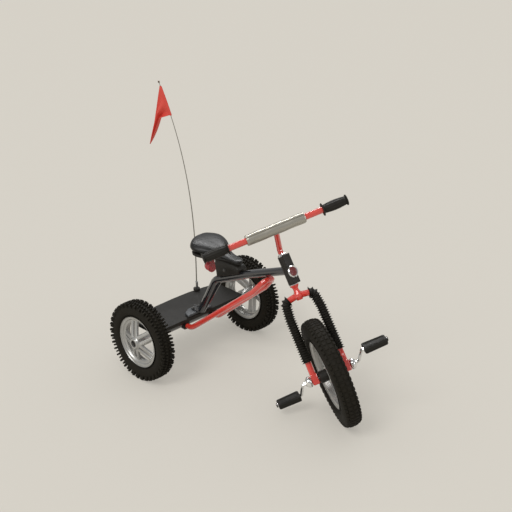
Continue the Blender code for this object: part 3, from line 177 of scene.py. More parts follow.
grain_group, grain_in, grain_out = shared_group("Fine grain", [("Scale", 400.0), ("Patch scale", 12.0)],
                                                ["Height", "Patches"])
grain_place = node(grain_group, "ShaderNodeTexCoord", (-900, 200))
grain_noise = node(grain_group, "ShaderNodeTexNoise", (-600, 200), inputs={"Detail": 4.0})
patch_noise = node(grain_group, "ShaderNodeTexNoise", (-600, -100),
                   inputs={"Detail": 5.0, "Roughness": 0.62})
patch_range = node(grain_group, "ShaderNodeMapRange", (-300, -100),
                   inputs={"From Min": 0.36, "From Max": 0.66})
wire(grain_group, (grain_place, "Object", grain_noise, "Vector"),
     (grain_place, "Object", patch_noise, "Vector"), (grain_in, "Scale", grain_noise, "Scale"),
     (grain_in, "Patch scale", patch_noise, "Scale"), (patch_noise, "Fac", patch_range, "Value"),
     (grain_noise, "Fac", grain_out, "Height"), (patch_range, "Result", grain_out, "Patches"))

dust_group, dust_in, dust_out = shared_group("Settled dust", [("Scale", 30.0), ("Amount", 0.3)], ["Mask"])
dust_place = node(dust_group, "ShaderNodeTexCoord", (-900, 200))
dust_side = node(dust_group, "ShaderNodeSeparateXYZ", (-700, 300))
dust_up = node(dust_group, "ShaderNodeMapRange", (-500, 300), inputs={"From Min": 0.15, "From Max": 1.0})
dust_noise = node(dust_group, "ShaderNodeTexNoise", (-700, -50), inputs={"Detail": 6.0})
dust_break = node(dust_group, "ShaderNodeMapRange", (-500, -50),
                  inputs={"From Min": 0.42, "From Max": 0.72})
dust_both = node(dust_group, "ShaderNodeMath", (-200, 100), operation="MULTIPLY")
dust_amount = node(dust_group, "ShaderNodeMath", (0, 100), operation="MULTIPLY")
wire(dust_group, (dust_place, "Normal", dust_side, "Vector"), (dust_side, "Z", dust_up, "Value"),
     (dust_place, "Object", dust_noise, "Vector"), (dust_in, "Scale", dust_noise, "Scale"),
     (dust_noise, "Fac", dust_break, "Value"), (dust_up, "Result", dust_both, 0),
     (dust_break, "Result", dust_both, 1), (dust_both, "Value", dust_amount, 0),
     (dust_in, "Amount", dust_amount, 1), (dust_amount, "Value", dust_out, "Mask"))

wear_group, wear_in, wear_out = shared_group("Rubbed edges", [("Scale", 60.0), ("Amount", 0.4)], ["Mask"])
wear_shape = node(wear_group, "ShaderNodeNewGeometry", (-900, 250))
wear_edge = node(wear_group, "ShaderNodeMapRange", (-650, 250), inputs={"From Min": 0.54, "From Max": 0.64})
wear_place = node(wear_group, "ShaderNodeTexCoord", (-900, -50))
wear_noise = node(wear_group, "ShaderNodeTexNoise", (-650, -50), inputs={"Detail": 5.0})
wear_both = node(wear_group, "ShaderNodeMath", (-350, 100), operation="MULTIPLY")
wear_amount = node(wear_group, "ShaderNodeMath", (-100, 100), operation="MULTIPLY", use_clamp=True)
wire(wear_group, (wear_shape, "Pointiness", wear_edge, "Value"),
     (wear_place, "Object", wear_noise, "Vector"), (wear_in, "Scale", wear_noise, "Scale"),
     (wear_edge, "Result", wear_both, 0), (wear_noise, "Fac", wear_both, 1),
     (wear_both, "Value", wear_amount, 0), (wear_in, "Amount", wear_amount, 1),
     (wear_amount, "Value", wear_out, "Mask"))


def use_group(tree, group, spot, **values):
    """A shader node group in a material, with its own values."""
    made = node(tree, "ShaderNodeGroup", spot, node_tree=group)
    for label, value in values.items():
        made.inputs[label.replace("_", " ")].default_value = value
    return made


def mixed(tree, factor, under, over, spot):
    """A colour mixed by a mask; under and over are colours or sockets."""
    mix = node(tree, "ShaderNodeMix", spot, data_type="RGBA")
    tree.links.new(factor, mix.inputs["Factor"])
    for socket, value in ((mix.inputs[6], under), (mix.inputs[7], over)):
        if isinstance(value, tuple):
            socket.default_value = (*value, 1.0)
        else:
            tree.links.new(value, socket)
    return mix.outputs[2]


def finish(name, colour, second, rough, grain, patches, bump, metallic=0.0, coat=0.0, dust=0.0, wear=0.0,
           worn=(0.3, 0.29, 0.28), mirror=0.5):
    """A surface with patchy colour and gloss, a fine grain, settled dust and rubbed edges."""
    made = bpy.data.materials.new(name)
    made.use_nodes = True
    tree = made.node_tree
    shader = tree.nodes["Principled BSDF"]
    shader.inputs["Metallic"].default_value = metallic
    shader.inputs["Coat Weight"].default_value = coat
    shader.inputs["Specular IOR Level"].default_value = mirror
    shader.inputs["Coat Roughness"].default_value = 0.08
    grained = use_group(tree, grain_group, (-900, 0), Scale=grain, Patch_scale=patches)
    colour_out = mixed(tree, grained.outputs["Patches"], colour, second, (-600, 300))
    if wear:
        rubbed = use_group(tree, wear_group, (-900, 500), Scale=70.0, Amount=wear)
        colour_out = mixed(tree, rubbed.outputs["Mask"], colour_out, worn, (-400, 400))
    if dust:
        settled = use_group(tree, dust_group, (-900, 700), Scale=45.0, Amount=dust)
        colour_out = mixed(tree, settled.outputs["Mask"], colour_out, (0.36, 0.33, 0.28), (-200, 500))
    tree.links.new(colour_out, shader.inputs["Base Color"])
    gloss = node(tree, "ShaderNodeMapRange", (-600, 0), inputs={"To Min": rough[0], "To Max": rough[1]})
    wire(tree, (grained, "Patches", gloss, "Value"), (gloss, "Result", shader, "Roughness"))
    relief = node(tree, "ShaderNodeBump", (-300, -200), inputs={"Strength": bump, "Distance": 0.0004})
    wire(tree, (grained, "Height", relief, "Height"), (relief, "Normal", shader, "Normal"))
    return made


def new_piece(name, data, colour):
    """An object with one finish all over."""
    piece = added(name, data)
    data.materials.clear()
    data.materials.append(colour)
    return piece


def closed_mesh(bm, name, sharp=30.0):
    """A mesh with its doubles merged and its faces pointing out, smooth up to the sharp angle."""
    bmesh.ops.remove_doubles(bm, verts=bm.verts, dist=1e-6)
    bmesh.ops.recalc_face_normals(bm, faces=bm.faces)
    made = bpy.data.meshes.new(name)
    bm.to_mesh(made)
    bm.free()
    made.shade_smooth()
    made.set_sharp_from_angle(angle=math.radians(sharp))
    return made


def turned(bm, profile, steps):
    """Turn a closed (radius, y) profile round the Y axis into a mesh."""
    verts = [bm.verts.new((r, y, 0.0)) for r, y in profile]
    edges = [bm.edges.new(pair) for pair in zip(verts, verts[1:] + verts[:1])]
    bmesh.ops.spin(bm, geom=verts + edges, cent=(0, 0, 0), axis=(0, 1, 0), angle=math.tau, steps=steps,
                   use_merge=True)
    return bm


def skin(bm, loops):
    """A band of faces from each loop of points to the next."""
    for low, high in zip(loops, loops[1:]):
        for j in range(len(low)):
            k = (j + 1) % len(low)
            bm.faces.new((low[j], low[k], high[k], high[j]))


def settle(piece, parts=()):
    """Turn a piece's modifiers into its plain mesh, and remove the parts that they copied."""
    bpy.context.view_layer.update()
    seen = piece.evaluated_get(bpy.context.evaluated_depsgraph_get())
    flat = bpy.data.meshes.new_from_object(seen)
    piece.modifiers.clear()
    piece.data = flat
    for part in parts:
        bpy.data.objects.remove(part)


def shape_tree(name, inputs):
    """A geometry tree, the identifiers of its named inputs, and its input and output nodes."""
    tree = bpy.data.node_groups.new(name, "GeometryNodeTree")
    face = tree.interface
    face.new_socket("Geometry", in_out="INPUT", socket_type="NodeSocketGeometry")
    sockets = {}
    for label, kind in inputs:
        sockets[label] = face.new_socket(label, in_out="INPUT", socket_type=f"NodeSocket{kind}").identifier
    face.new_socket("Geometry", in_out="OUTPUT", socket_type="NodeSocketGeometry")
    return tree, sockets, node(tree, "NodeGroupInput", (-1000, 0)), node(tree, "NodeGroupOutput", (900, 0))


def shape_with(piece, tree, sockets, **values):
    """Put a geometry tree on a piece, with the values of its inputs."""
    step = piece.modifiers.new(tree.name, "NODES")
    step.node_group = tree
    for label, value in values.items():
        step[sockets[label.replace("_", " ")]] = value


ring_tree, ring_sockets, ring_in, ring_out = shape_tree(
    "Copies in a ring",
    [("Part", "Object"), ("Count", "Int"), ("Start angle", "Float"), ("Finish", "Material")])
ring_points = node(ring_tree, "GeometryNodePoints", (-600, 150))
ring_part = node(ring_tree, "GeometryNodeObjectInfo", (-600, -100))
ring_index = node(ring_tree, "GeometryNodeInputIndex", (-800, -350))
ring_share = node(ring_tree, "ShaderNodeMath", (-600, -350), operation="DIVIDE")
ring_turn = node(ring_tree, "ShaderNodeMath", (-400, -350), operation="MULTIPLY_ADD", inputs={1: math.tau})
ring_axis = node(ring_tree, "ShaderNodeCombineXYZ", (-200, -350))
ring_spin = node(ring_tree, "FunctionNodeEulerToRotation", (0, -350))
ring_copies = node(ring_tree, "GeometryNodeInstanceOnPoints", (0, 100))
ring_real = node(ring_tree, "GeometryNodeRealizeInstances", (180, 100))
ring_paint = node(ring_tree, "GeometryNodeSetMaterial", (340, 100))
ring_join = node(ring_tree, "GeometryNodeJoinGeometry", (520, 0))
wire(ring_tree, (ring_in, "Count", ring_points, "Count"), (ring_in, "Part", ring_part, "Object"),
     (ring_index, "Index", ring_share, 0), (ring_in, "Count", ring_share, 1), (ring_share, 0, ring_turn, 0),
     (ring_in, "Start angle", ring_turn, 2), (ring_turn, 0, ring_axis, "Y"), (ring_axis, 0, ring_spin, 0),
     (ring_points, 0, ring_copies, "Points"), (ring_part, "Geometry", ring_copies, "Instance"),
     (ring_spin, 0, ring_copies, "Rotation"), (ring_copies, 0, ring_real, 0),
     (ring_real, 0, ring_paint, "Geometry"), (ring_in, "Finish", ring_paint, "Material"),
     (ring_in, "Geometry", ring_join, 0), (ring_paint, 0, ring_join, 0), (ring_join, 0, ring_out, 0))


def knob(name, along, across, height, radius, side, tilt):
    """One tread knob, rooted in the band at a radius, leaning out with the shoulder."""
    root = -0.0025
    bm = bmesh.new()
    rings = []
    for level, share in ((root, 1.06), (height * 0.8, 0.84), (height, 0.74)):
        rings.append([bm.verts.new((level, b * across / 2 * share, a * along / 2 * share))
                      for a, b in ((-1, -1), (1, -1), (1, 1), (-1, 1))])
    skin(bm, rings)
    bm.faces.new(rings[-1])
    bm.faces.new(rings[0][::-1])
    lean = Matrix.Translation((radius, side, 0.0)) @ Matrix.Rotation(tilt, 4, "Z")
    bmesh.ops.transform(bm, matrix=lean, verts=bm.verts)
    return added(name, closed_mesh(bm, name, 25.0))


tyre_rubber = finish("tyre rubber", (0.0105, 0.0085, 0.0048), (0.014, 0.0115, 0.0068), (0.72, 0.88), 900.0,
                     26.0, 0.5, dust=0.02, wear=0.05, worn=(0.05, 0.044, 0.036), mirror=0.16)


def knobby_tyre(name, radius, width, bead, lip, bead_half, tread, rows, matrix, stand=1.0):
    """A tyre with its rows of knobs; rows hold (count, start, along, across, side, tilt, drop).

    A knob is as high as the tread and a share, stand, of how far its row drops at the shoulder.
    """
    crown = radius - tread
    middle = lip + 0.45 * (crown - lip)
    half = width / 2 - 0.0008
    arc_steps = 11
    arc_start = -52
    arc_sweep = 142
    wall_round = 0.72
    crown_round = 0.92
    profile = [(bead, -bead_half), (bead, 0.0), (bead, bead_half), (lip - 0.0010, bead_half + 0.0012),
               (lip - 0.0026, half * 0.86), (lip - 0.0006, half * 0.94)]
    for i in range(arc_steps + 1):
        a = math.radians(arc_start + arc_sweep * i / arc_steps)
        out = crown - middle if a > 0 else middle - lip + 0.004
        wide = half * math.cos(a) ** wall_round if i < arc_steps else 0.0
        profile.append((middle + out * math.copysign(abs(math.sin(a)) ** crown_round, a), wide))
    mirrored = [(r, -y) for r, y in reversed(profile[3:-1])]
    bm = turned(bmesh.new(), profile + mirrored, 120)
    bulge = lip + 0.010
    for side in (1, -1):
        turned(bm, [(bulge - 0.0012, side * half * 0.905), (bulge, side * (half * 0.93 + 0.0008)),
                    (bulge + 0.0012, side * half * 0.955)], 90)
    tyre = new_piece(name, closed_mesh(bm, name, 50.0), tyre_rubber)
    parts = []
    foot_sink = 0.40
    lean_rise = 0.3
    for k, (count, start, along, across, side, tilt, drop) in enumerate(rows):
        high = tread + stand * drop
        sunk = foot_sink * across * abs(math.sin(tilt))
        seat = crown - drop - sunk + lean_rise * high * (1 - math.cos(tilt))
        parts.append(knob(f"{name}_knob_{k}", along, across, high, seat, side, tilt))
        shape_with(tyre, ring_tree, ring_sockets, Part=parts[-1], Count=count, Start_angle=start,
                   Finish=tyre_rubber)
    settle(tyre, parts)
    tyre.data.transform(matrix)
    return tyre


rear_axle_height = 0.12699
rear_axle_x = -0.209
track_half = 0.2245
rear_pitch = math.tau / 72
rear_rows = []
for side in (1, -1):
    rear_rows.append((36, 0.0, 0.0062, 0.0096, side * 0.0186, math.radians(side * 30), 0.0040))
    rear_rows.append((36, rear_pitch, 0.0052, 0.0074, side * 0.0168, math.radians(side * 21), 0.0026))
    rear_rows.append((72, rear_pitch / 2, 0.0060, 0.0080, side * 0.0070, math.radians(side * 8), 0.0008))
for side, label in ((1, "left"), (-1, "right")):
    spot = Matrix.Translation((rear_axle_x, side * track_half, rear_axle_height))
    tyre = knobby_tyre(f"rear_tyre_{label}_tread", radius=0.127, width=0.048, bead=0.0763, lip=0.0843,
                       bead_half=0.0137, tread=0.0055, rows=rear_rows, matrix=spot)
    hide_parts(f"rear_tyre_{label}")
    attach(tyre, f"{label}_rear_wheel_unit")

head_rake = math.radians(32.6)
steer_turn = math.radians(32.5)
steering = (Matrix.Translation((0.35858, 0.0, 0.15525)) @ Matrix.Rotation(-head_rake, 4, "Y")
            @ Matrix.Rotation(-steer_turn, 4, "Z"))
fork_offset = 0.010
front_axle = steering @ Matrix.Translation((fork_offset, 0.0, 0.0))
front_pitch = math.tau / 64
front_rows = []
for side in (1, -1):
    front_rows.append((64, 0.0, 0.0112, 0.0088, side * 0.0170, math.radians(side * 34), 0.0058))
    front_rows.append((64, front_pitch / 2, 0.0112, 0.0110, side * 0.0066, math.radians(side * 8), 0.0006))
front_tyre = knobby_tyre("front_tyre_tread", radius=0.165, width=0.0515, bead=0.0983, lip=0.1063,
                         bead_half=0.0147, tread=0.0024, rows=front_rows, matrix=front_axle, stand=0.55)
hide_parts("front_tyre")
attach(front_tyre, "front_wheel_unit")


# Mag wheels
# Injection moulded in silver grey: a deep rim, five pairs of bars, and a round hub.
# The front one has a short hub, and its bars lie flat near its middle.

wheel_silver = finish("wheel silver", (0.42, 0.415, 0.395), (0.35, 0.345, 0.325), (0.26, 0.40), 1400.0,
                      30.0, 0.12, metallic=0.6, coat=0.15, dust=0.06)


def spoke_bar(name, inner, outer, across, width, depth, y_in, y_out):
    """One bar from the hub to the rim, its front edges rounded over."""
    bm = bmesh.new()
    section = [(-0.5, 0.0), (-0.5, 0.72), (-0.34, 0.96), (0.0, 1.0), (0.34, 0.96), (0.5, 0.72), (0.5, 0.0)]
    end_flare = 0.30
    rings = []
    for t in (0.0, 0.08, 0.5, 0.92, 1.0):
        r = inner + (outer - inner) * t
        y = y_in + (y_out - y_in) * t
        flare = 1.0 + end_flare * abs(2 * t - 1) ** 4
        rings.append([bm.verts.new((r, y - depth + depth * b, across + width * flare * a))
                      for a, b in section])
    skin(bm, rings)
    bm.faces.new(rings[0])
    bm.faces.new(rings[-1][::-1])
    return added(name, closed_mesh(bm, name, 28.0))


def mag_wheel(name, bead, half, hub, bore, hub_out, hub_in, y_hub, y_rim, disc, start, matrix, recess=0.0):
    """A moulded wheel; half is the rim's half width, disc the radius of the plate round the hub."""
    wall = 0.0045
    barrel = bead - wall
    lip = bead + 0.008
    depth = 0.009
    bar_width = 0.0108
    bar_spread = 0.0095
    recess_depth = 0.0093
    bm = bmesh.new()
    turned(bm, [
        (barrel - 0.0060, y_rim - depth), (barrel - 0.0072, y_rim - depth * 0.5), (barrel - 0.0060, y_rim),
        (barrel - 0.0020, y_rim + 0.0012), (barrel - 0.0005, half - 0.0065), (barrel + 0.0020, half - 0.0030),
        (barrel + 0.0042, half - 0.0022), (lip - 0.0040, half - 0.0018), (lip - 0.0022, half),
        (lip - 0.0008, half - 0.0004), (lip, half - 0.0015), (lip, half - wall), (bead, half - wall),
        (bead, -half + wall), (lip, -half + wall), (lip, -half + 0.0015), (lip - 0.0018, -half),
        (lip - 0.0040, -half + 0.0018), (barrel + 0.0042, -half + 0.0022), (barrel, -half + 0.0050),
        (barrel - 0.0020, y_rim - depth - 0.0012)], 120)
    if recess:
        face = [(recess, hub_out), (recess, hub_out - recess_depth), (bore, hub_out - recess_depth)]
    else:
        face = [(bore + 0.003, hub_out), (bore, hub_out - 0.001)]
    turned(bm, [
        (bore, -hub_in), (hub - 0.0015, -hub_in), (hub, -hub_in + 0.0015), (hub, y_hub - depth - 0.001),
        (hub + 0.001, y_hub - depth), (disc - 0.001, y_hub - depth - 0.0006), (disc, y_hub - depth * 0.5),
        (disc - 0.001, y_hub - 0.0008), (hub + 0.0025, y_hub), (hub, y_hub + 0.002),
        (hub - 0.0008, hub_out - 0.002), (hub - 0.0024, hub_out), *face], 72)
    wheel = new_piece(name, closed_mesh(bm, name, 32.0), wheel_silver)
    parts = []
    for k, across in enumerate((bar_spread, -bar_spread)):
        parts.append(spoke_bar(f"{name}_bar_{k}", hub - 0.001, barrel - 0.0045, across, bar_width, depth,
                               y_hub + 0.0006, y_rim + 0.0006))
        shape_with(wheel, ring_tree, ring_sockets, Part=parts[-1], Count=5, Start_angle=start,
                   Finish=wheel_silver)
    settle(wheel, parts)
    wheel.data.transform(matrix)
    return wheel


def facing(side):
    """A half turn about Z for what is made for the left side and stands on the right."""
    return Matrix.Identity(4) if side > 0 else Matrix.Rotation(math.pi, 4, "Z")


rear_bar_angle = math.radians(-142.0)
front_bar_angle = math.radians(-38.0)
for side, label in ((1, "left"), (-1, "right")):
    spot = Matrix.Translation((rear_axle_x, side * track_half, rear_axle_height)) @ facing(side)
    wheel = mag_wheel(f"rear_wheel_{label}_moulding", bead=0.076, half=0.0185, hub=0.018, bore=0.0063,
                      hub_out=0.034, hub_in=0.026, y_hub=0.028, y_rim=0.010, disc=0.0215,
                      start=rear_bar_angle, matrix=spot, recess=0.0110)
    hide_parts(f"rear_wheel_{label}")
    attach(wheel, f"{label}_rear_wheel_unit")
front_wheel = mag_wheel("front_wheel_moulding", bead=0.098, half=0.0195, hub=0.025, bore=0.0133,
                        hub_out=0.012, hub_in=0.012, y_hub=0.0055, y_rim=0.0045, disc=0.0320,
                        start=front_bar_angle, matrix=front_axle)
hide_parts("front_wheel")
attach(front_wheel, "front_wheel_unit")


# Axles, caps and hubs
# Bright steel rod with a push-on plastic cap outside each rear wheel, and a black plastic
# hub core in the front wheel.

black_plastic = finish("black plastic", (0.0100, 0.0085, 0.0062), (0.0145, 0.0125, 0.0095), (0.42, 0.58),
                       1100.0, 40.0, 0.35, dust=0.03, wear=0.3, worn=(0.07, 0.066, 0.060), mirror=0.25)
bright_steel = finish("bright steel", (0.58, 0.57, 0.55), (0.47, 0.46, 0.44), (0.24, 0.42), 700.0, 60.0,
                      0.15, metallic=1.0)


def paint(name, colour):
    """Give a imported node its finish."""
    item = nodes[name]
    item.data.materials.clear()
    item.data.materials.append(colour)


for name in ("rear_axle", "rear_spacer_left", "rear_spacer_right"):
    paint(name, bright_steel)
for name in ("rear_axle_cap_left", "rear_axle_cap_right", "front_hub"):
    paint(name, black_plastic)


# Step deck
# Pressed steel sheet with a turned-down edge, satin black, on the axle tube.
# A grey plate on top takes the foot of the frame.

deck_black = finish("deck black", (0.0125, 0.0108, 0.0078), (0.0155, 0.0135, 0.0100), (0.52, 0.62), 500.0,
                    16.0, 0.2, dust=0.01, wear=0.4, worn=(0.14, 0.13, 0.115), mirror=0.22)
plate_grey = finish("plate grey", (0.075, 0.082, 0.088), (0.030, 0.032, 0.034), (0.35, 0.55), 500.0, 50.0,
                    0.25, metallic=0.3, wear=0.3)


def eased_copy(name, node_name, colour, width, segments=2):
    """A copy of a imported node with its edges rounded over."""
    bm = bmesh.new()
    bm.from_mesh(nodes[node_name].data)
    bmesh.ops.remove_doubles(bm, verts=bm.verts, dist=1e-5)
    bmesh.ops.dissolve_limit(bm, angle_limit=math.radians(0.6), verts=bm.verts, edges=bm.edges)
    made = bpy.data.meshes.new(name)
    bm.to_mesh(made)
    bm.free()
    piece = new_piece(name, made, colour)
    made.shade_smooth()
    ease = piece.modifiers.new("Rounded edges", "BEVEL")
    ease.width = width
    ease.segments = segments
    ease.limit_method = "ANGLE"
    ease.angle_limit = math.radians(32.0)
    ease.harden_normals = True
    settle(piece)
    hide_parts(node_name)
    return piece


deck = eased_copy("step_deck_sheet", "rear_deck", deck_black, 0.0014, segments=3)
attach(deck, "frame")
foot_plate = eased_copy("foot_plate", "foot_bracket", plate_grey, 0.0008)
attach(foot_plate, "frame")


# Frame
# Bent steel tube with a web and a foot flange welded on, all in gloss black enamel.
# Hexagon bolts hold the foot down through the deck.

# The black is tinted faintly blue all over, a painted reflection of a cool sky on the gloss enamel.
frame_black_sky_tinted = finish("frame black", (0.008, 0.0085, 0.0105), (0.012, 0.0125, 0.0145), (0.16, 0.26), 260.0,
                     14.0, 0.10, coat=1.0, dust=0.02, wear=0.3, worn=(0.12, 0.12, 0.12))
for name in ("main_frame", "rear_axle_tube"):
    paint(name, frame_black_sky_tinted)

bolt_tree, bolt_sockets, bolt_in, bolt_out = shape_tree(
    "Bolts at points", [("Bolt", "Object"), ("Finish", "Material")])
bolt_part = node(bolt_tree, "GeometryNodeObjectInfo", (-400, -100))
bolt_aim = node(bolt_tree, "GeometryNodeInputNamedAttribute", (-600, -300), data_type="FLOAT_VECTOR",
                inputs={"Name": "aim"})
bolt_turn = node(bolt_tree, "FunctionNodeAlignRotationToVector", (-400, -300), axis="Z")
bolt_copies = node(bolt_tree, "GeometryNodeInstanceOnPoints", (-100, 0))
bolt_real = node(bolt_tree, "GeometryNodeRealizeInstances", (100, 0))
bolt_paint = node(bolt_tree, "GeometryNodeSetMaterial", (300, 0))
wire(bolt_tree, (bolt_in, "Geometry", bolt_copies, "Points"), (bolt_in, "Bolt", bolt_part, "Object"),
     (bolt_part, "Geometry", bolt_copies, "Instance"), (bolt_aim, 0, bolt_turn, "Vector"),
     (bolt_turn, 0, bolt_copies, "Rotation"), (bolt_copies, 0, bolt_real, 0),
     (bolt_real, 0, bolt_paint, "Geometry"), (bolt_in, "Finish", bolt_paint, "Material"),
     (bolt_paint, 0, bolt_out, 0))


def bolt_head(name, radius, height):
    """A washer with a hexagonal head on it, its top edge chamfered."""
    bm = bmesh.new()
    washer = (18, radius * 1.55, radius * 1.5, height * 0.3, height * 0.15)
    head = (6, radius, radius, height * 0.5, height * 0.55)
    chamfer = (6, radius, radius * 0.78, height * 0.2, height * 0.9)
    for sides, low_radius, high_radius, depth, level in (washer, head, chamfer):
        made = bmesh.ops.create_cone(bm, cap_ends=True, segments=sides, radius1=low_radius,
                                     radius2=high_radius, depth=depth)
        bmesh.ops.translate(bm, verts=made["verts"], vec=(0, 0, level))
    return added(name, closed_mesh(bm, name, 30.0))


def bolts(name, spots, radius, height, body):
    """Steel bolts at (place, aim) pairs, on one body."""
    guide = bpy.data.meshes.new(name)
    guide.from_pydata([tuple(spot) for spot, _ in spots], [], [])
    aims = guide.attributes.new("aim", "FLOAT_VECTOR", "POINT")
    for i, (_, aim) in enumerate(spots):
        aims.data[i].vector = Vector(aim).normalized()
    piece = new_piece(name, guide, dull_steel)
    part = bolt_head(f"{name}_part", radius, height)
    shape_with(piece, bolt_tree, bolt_sockets, Bolt=part, Finish=dull_steel)
    settle(piece, [part])
    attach(piece, body)


flange_top = 0.15769
dull_steel = finish("dull steel", (0.10, 0.098, 0.092), (0.055, 0.053, 0.050), (0.40, 0.55), 700.0, 60.0,
                    0.2, metallic=0.7)
bolts("foot_bolts", [((x, y, flange_top), (0, 0, 1)) for x in (-0.2100, -0.1860) for y in (-0.0102, 0.0102)],
      0.0032, 0.0042, "frame")


# Hairpin brace
# One bent steel tube in bright red enamel, its two ends socketed in moulded cradles under
# the deck and its closed end welded under the main tube.

red_enamel = finish("red enamel", (0.66, 0.046, 0.030), (0.60, 0.036, 0.024), (0.16, 0.26), 240.0, 12.0,
                    0.08, coat=1.0, dust=0.03, wear=0.2, worn=(0.6, 0.18, 0.13))
paint("lower_frame_loop", red_enamel)
for label in ("left", "right"):
    cradle = eased_copy(f"brace_cradle_{label}", f"loop_clamp_{label}", black_plastic, 0.0006)
    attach(cradle, "frame")


# Saddle
# A soft moulded vinyl skin over foam, glossy black, on a hard shell with a bracket that
# straddles the tube. A round red reflector hangs under its back.

saddle_vinyl = finish("saddle vinyl", (0.0095, 0.0095, 0.0085), (0.0125, 0.0125, 0.0115), (0.34, 0.46),
                      520.0, 20.0, 0.22, mirror=0.30)
seat_x = -0.209
seat_rear = 0.018
seat_nose = 0.207
seat_floor = 0.3798


def saddle_half(t):
    """Half the saddle's width, from its back at 0 to its nose at 1."""
    nose_half = 0.016
    back_extra = 0.047
    waist_at = 0.50
    waist_speed = 11
    back_round = 0.24
    nose_round = 0.10
    narrowing = 1 / (1 + math.exp((t - waist_at) * waist_speed))
    width = nose_half + back_extra * narrowing
    rear = math.sqrt(max(0.0, 1 - max(0.0, (back_round - t) / back_round) ** 2.2))
    nose = math.sqrt(max(0.0, 1 - max(0.0, (t - (1 - nose_round)) / nose_round) ** 2))
    return width * rear * nose


def saddle_height(t):
    """The saddle's height over its shell, falling from back to nose."""
    back_height = 0.0395
    drop = 0.024
    fall = 0.5 - 0.5 * math.cos(math.pi * min(1.0, max(0.0, (t - 0.12) / 0.80)))
    return back_height - drop * fall


def capped(bm, loop, spot=None):
    """Close a loop of points with faces to its centre, or to a spot."""
    centre = bm.verts.new(spot or sum((v.co for v in loop), Vector()) / len(loop))
    for j in range(len(loop)):
        bm.faces.new((loop[j], loop[(j + 1) % len(loop)], centre))


bm = bmesh.new()
rings = 56
around = 56
squareness = 0.75
drawn_in = 0.14
seam_depth = 0.030
dish_depth = 0.0012
loops = []
for i in range(1, rings):
    t = 0.5 - 0.5 * math.cos(math.pi * i / rings)
    half = saddle_half(t)
    edge = min(1.0, half / saddle_half(0.3) + 0.35)
    high = saddle_height(t) * edge
    middle = 0.42 * high
    loop = []
    for j in range(around):
        a = math.tau * j / around
        across = math.copysign(abs(math.cos(a)) ** squareness, math.cos(a))
        rise = math.copysign(abs(math.sin(a)) ** squareness, math.sin(a))
        drawn = 1.0 if rise >= 0 else 1.0 + drawn_in * rise
        seam = 1.0 - seam_depth * math.exp(-((rise + 0.15) / 0.10) ** 2)
        dish = (-dish_depth * math.exp(-(across / 0.35) ** 2) * max(0.0, rise)
                * math.exp(-((t - 0.42) / 0.2) ** 2))
        z = middle + rise * (high - middle if rise >= 0 else middle) + dish
        x = seat_x + seat_rear + (seat_nose - seat_rear) * t
        loop.append(bm.verts.new((x, half * across * drawn * seam, seat_floor + z)))
    loops.append(loop)
skin(bm, loops)
for loop in (loops[0], loops[-1]):
    capped(bm, loop)
saddle = new_piece("saddle_skin", closed_mesh(bm, "saddle_skin", 80.0), saddle_vinyl)
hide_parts("seat_cushion")
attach(saddle, "frame")

for name, source, width in (("saddle_shell", "seat_shell", 0.0022),
                            ("saddle_bracket", "seat_bracket", 0.0010)):
    piece = eased_copy(name, source, black_plastic, width)
    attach(piece, "frame")
bolts("bracket_bolts", [((-0.058, side * 0.018, 0.3445), (0, side, 0)) for side in (1, -1)],
      0.0036, 0.0042, "frame")

lens_red = finish("lens red", (0.42, 0.006, 0.014), (0.30, 0.004, 0.009), (0.14, 0.26), 300.0, 60.0, 0.05,
                  coat=0.35)
prism_tree = lens_red.node_tree
prism_place = node(prism_tree, "ShaderNodeTexCoord", (-1100, -400))
prism_cells = node(prism_tree, "ShaderNodeTexVoronoi", (-900, -400),
                   inputs={"Scale": 420.0, "Randomness": 0.0})
prism_relief = node(prism_tree, "ShaderNodeBump", (-600, -400),
                    inputs={"Strength": 0.7, "Distance": 0.0012})
wire(prism_tree, (prism_place, "Object", prism_cells, "Vector"),
     (prism_cells, "Distance", prism_relief, "Height"),
     (prism_relief, "Normal", prism_tree.nodes["Principled BSDF"], "Normal"))
paint("reflector_lens", lens_red)
paint("reflector_holder", lens_red)


# Safety flag
# A vinyl pennant sewn round a thin glass fibre whip, which stands in a chromed ferrule on
# the deck. The free corner has dropped and swings in.

flag_red = finish("flag red", (0.66, 0.060, 0.038), (0.60, 0.050, 0.032), (0.62, 0.8), 900.0, 18.0, 0.12)
pole_grey = finish("whip grey", (0.20, 0.185, 0.150), (0.15, 0.138, 0.112), (0.35, 0.5), 500.0, 60.0, 0.1)
tip_brown = finish("tip brown", (0.12, 0.075, 0.045), (0.09, 0.056, 0.034), (0.4, 0.55), 500.0, 60.0, 0.1)
chrome = finish("chrome", (0.83, 0.83, 0.82), (0.76, 0.76, 0.75), (0.06, 0.14), 300.0, 40.0, 0.02,
                metallic=1.0)
paint("flag_ferrule", chrome)
paint("flag_bracket", black_plastic)
paint("flag_tip", tip_brown)

whip_base = Vector((-0.316, 0.100, 0.17669))
whip_lean = -0.153
whip_height = 0.637
whip_foot_radius = 0.0020
whip_taper = 0.0010


def whip(t):
    """The whip's centre line, bending back more and more from its foot at 0 to its top at 1."""
    return whip_base + Vector((whip_lean * t ** 2.5, 0.0, whip_height * t))


def whip_at(distance):
    """The whip's point a distance below its top."""
    steps = 400
    gone = 0.0
    last = whip(1.0)
    for i in range(1, steps + 1):
        here = whip(1.0 - i / steps)
        stretch = (last - here).length
        if gone + stretch >= distance:
            return last.lerp(here, (distance - gone) / stretch)
        gone += stretch
        last = here
    return last


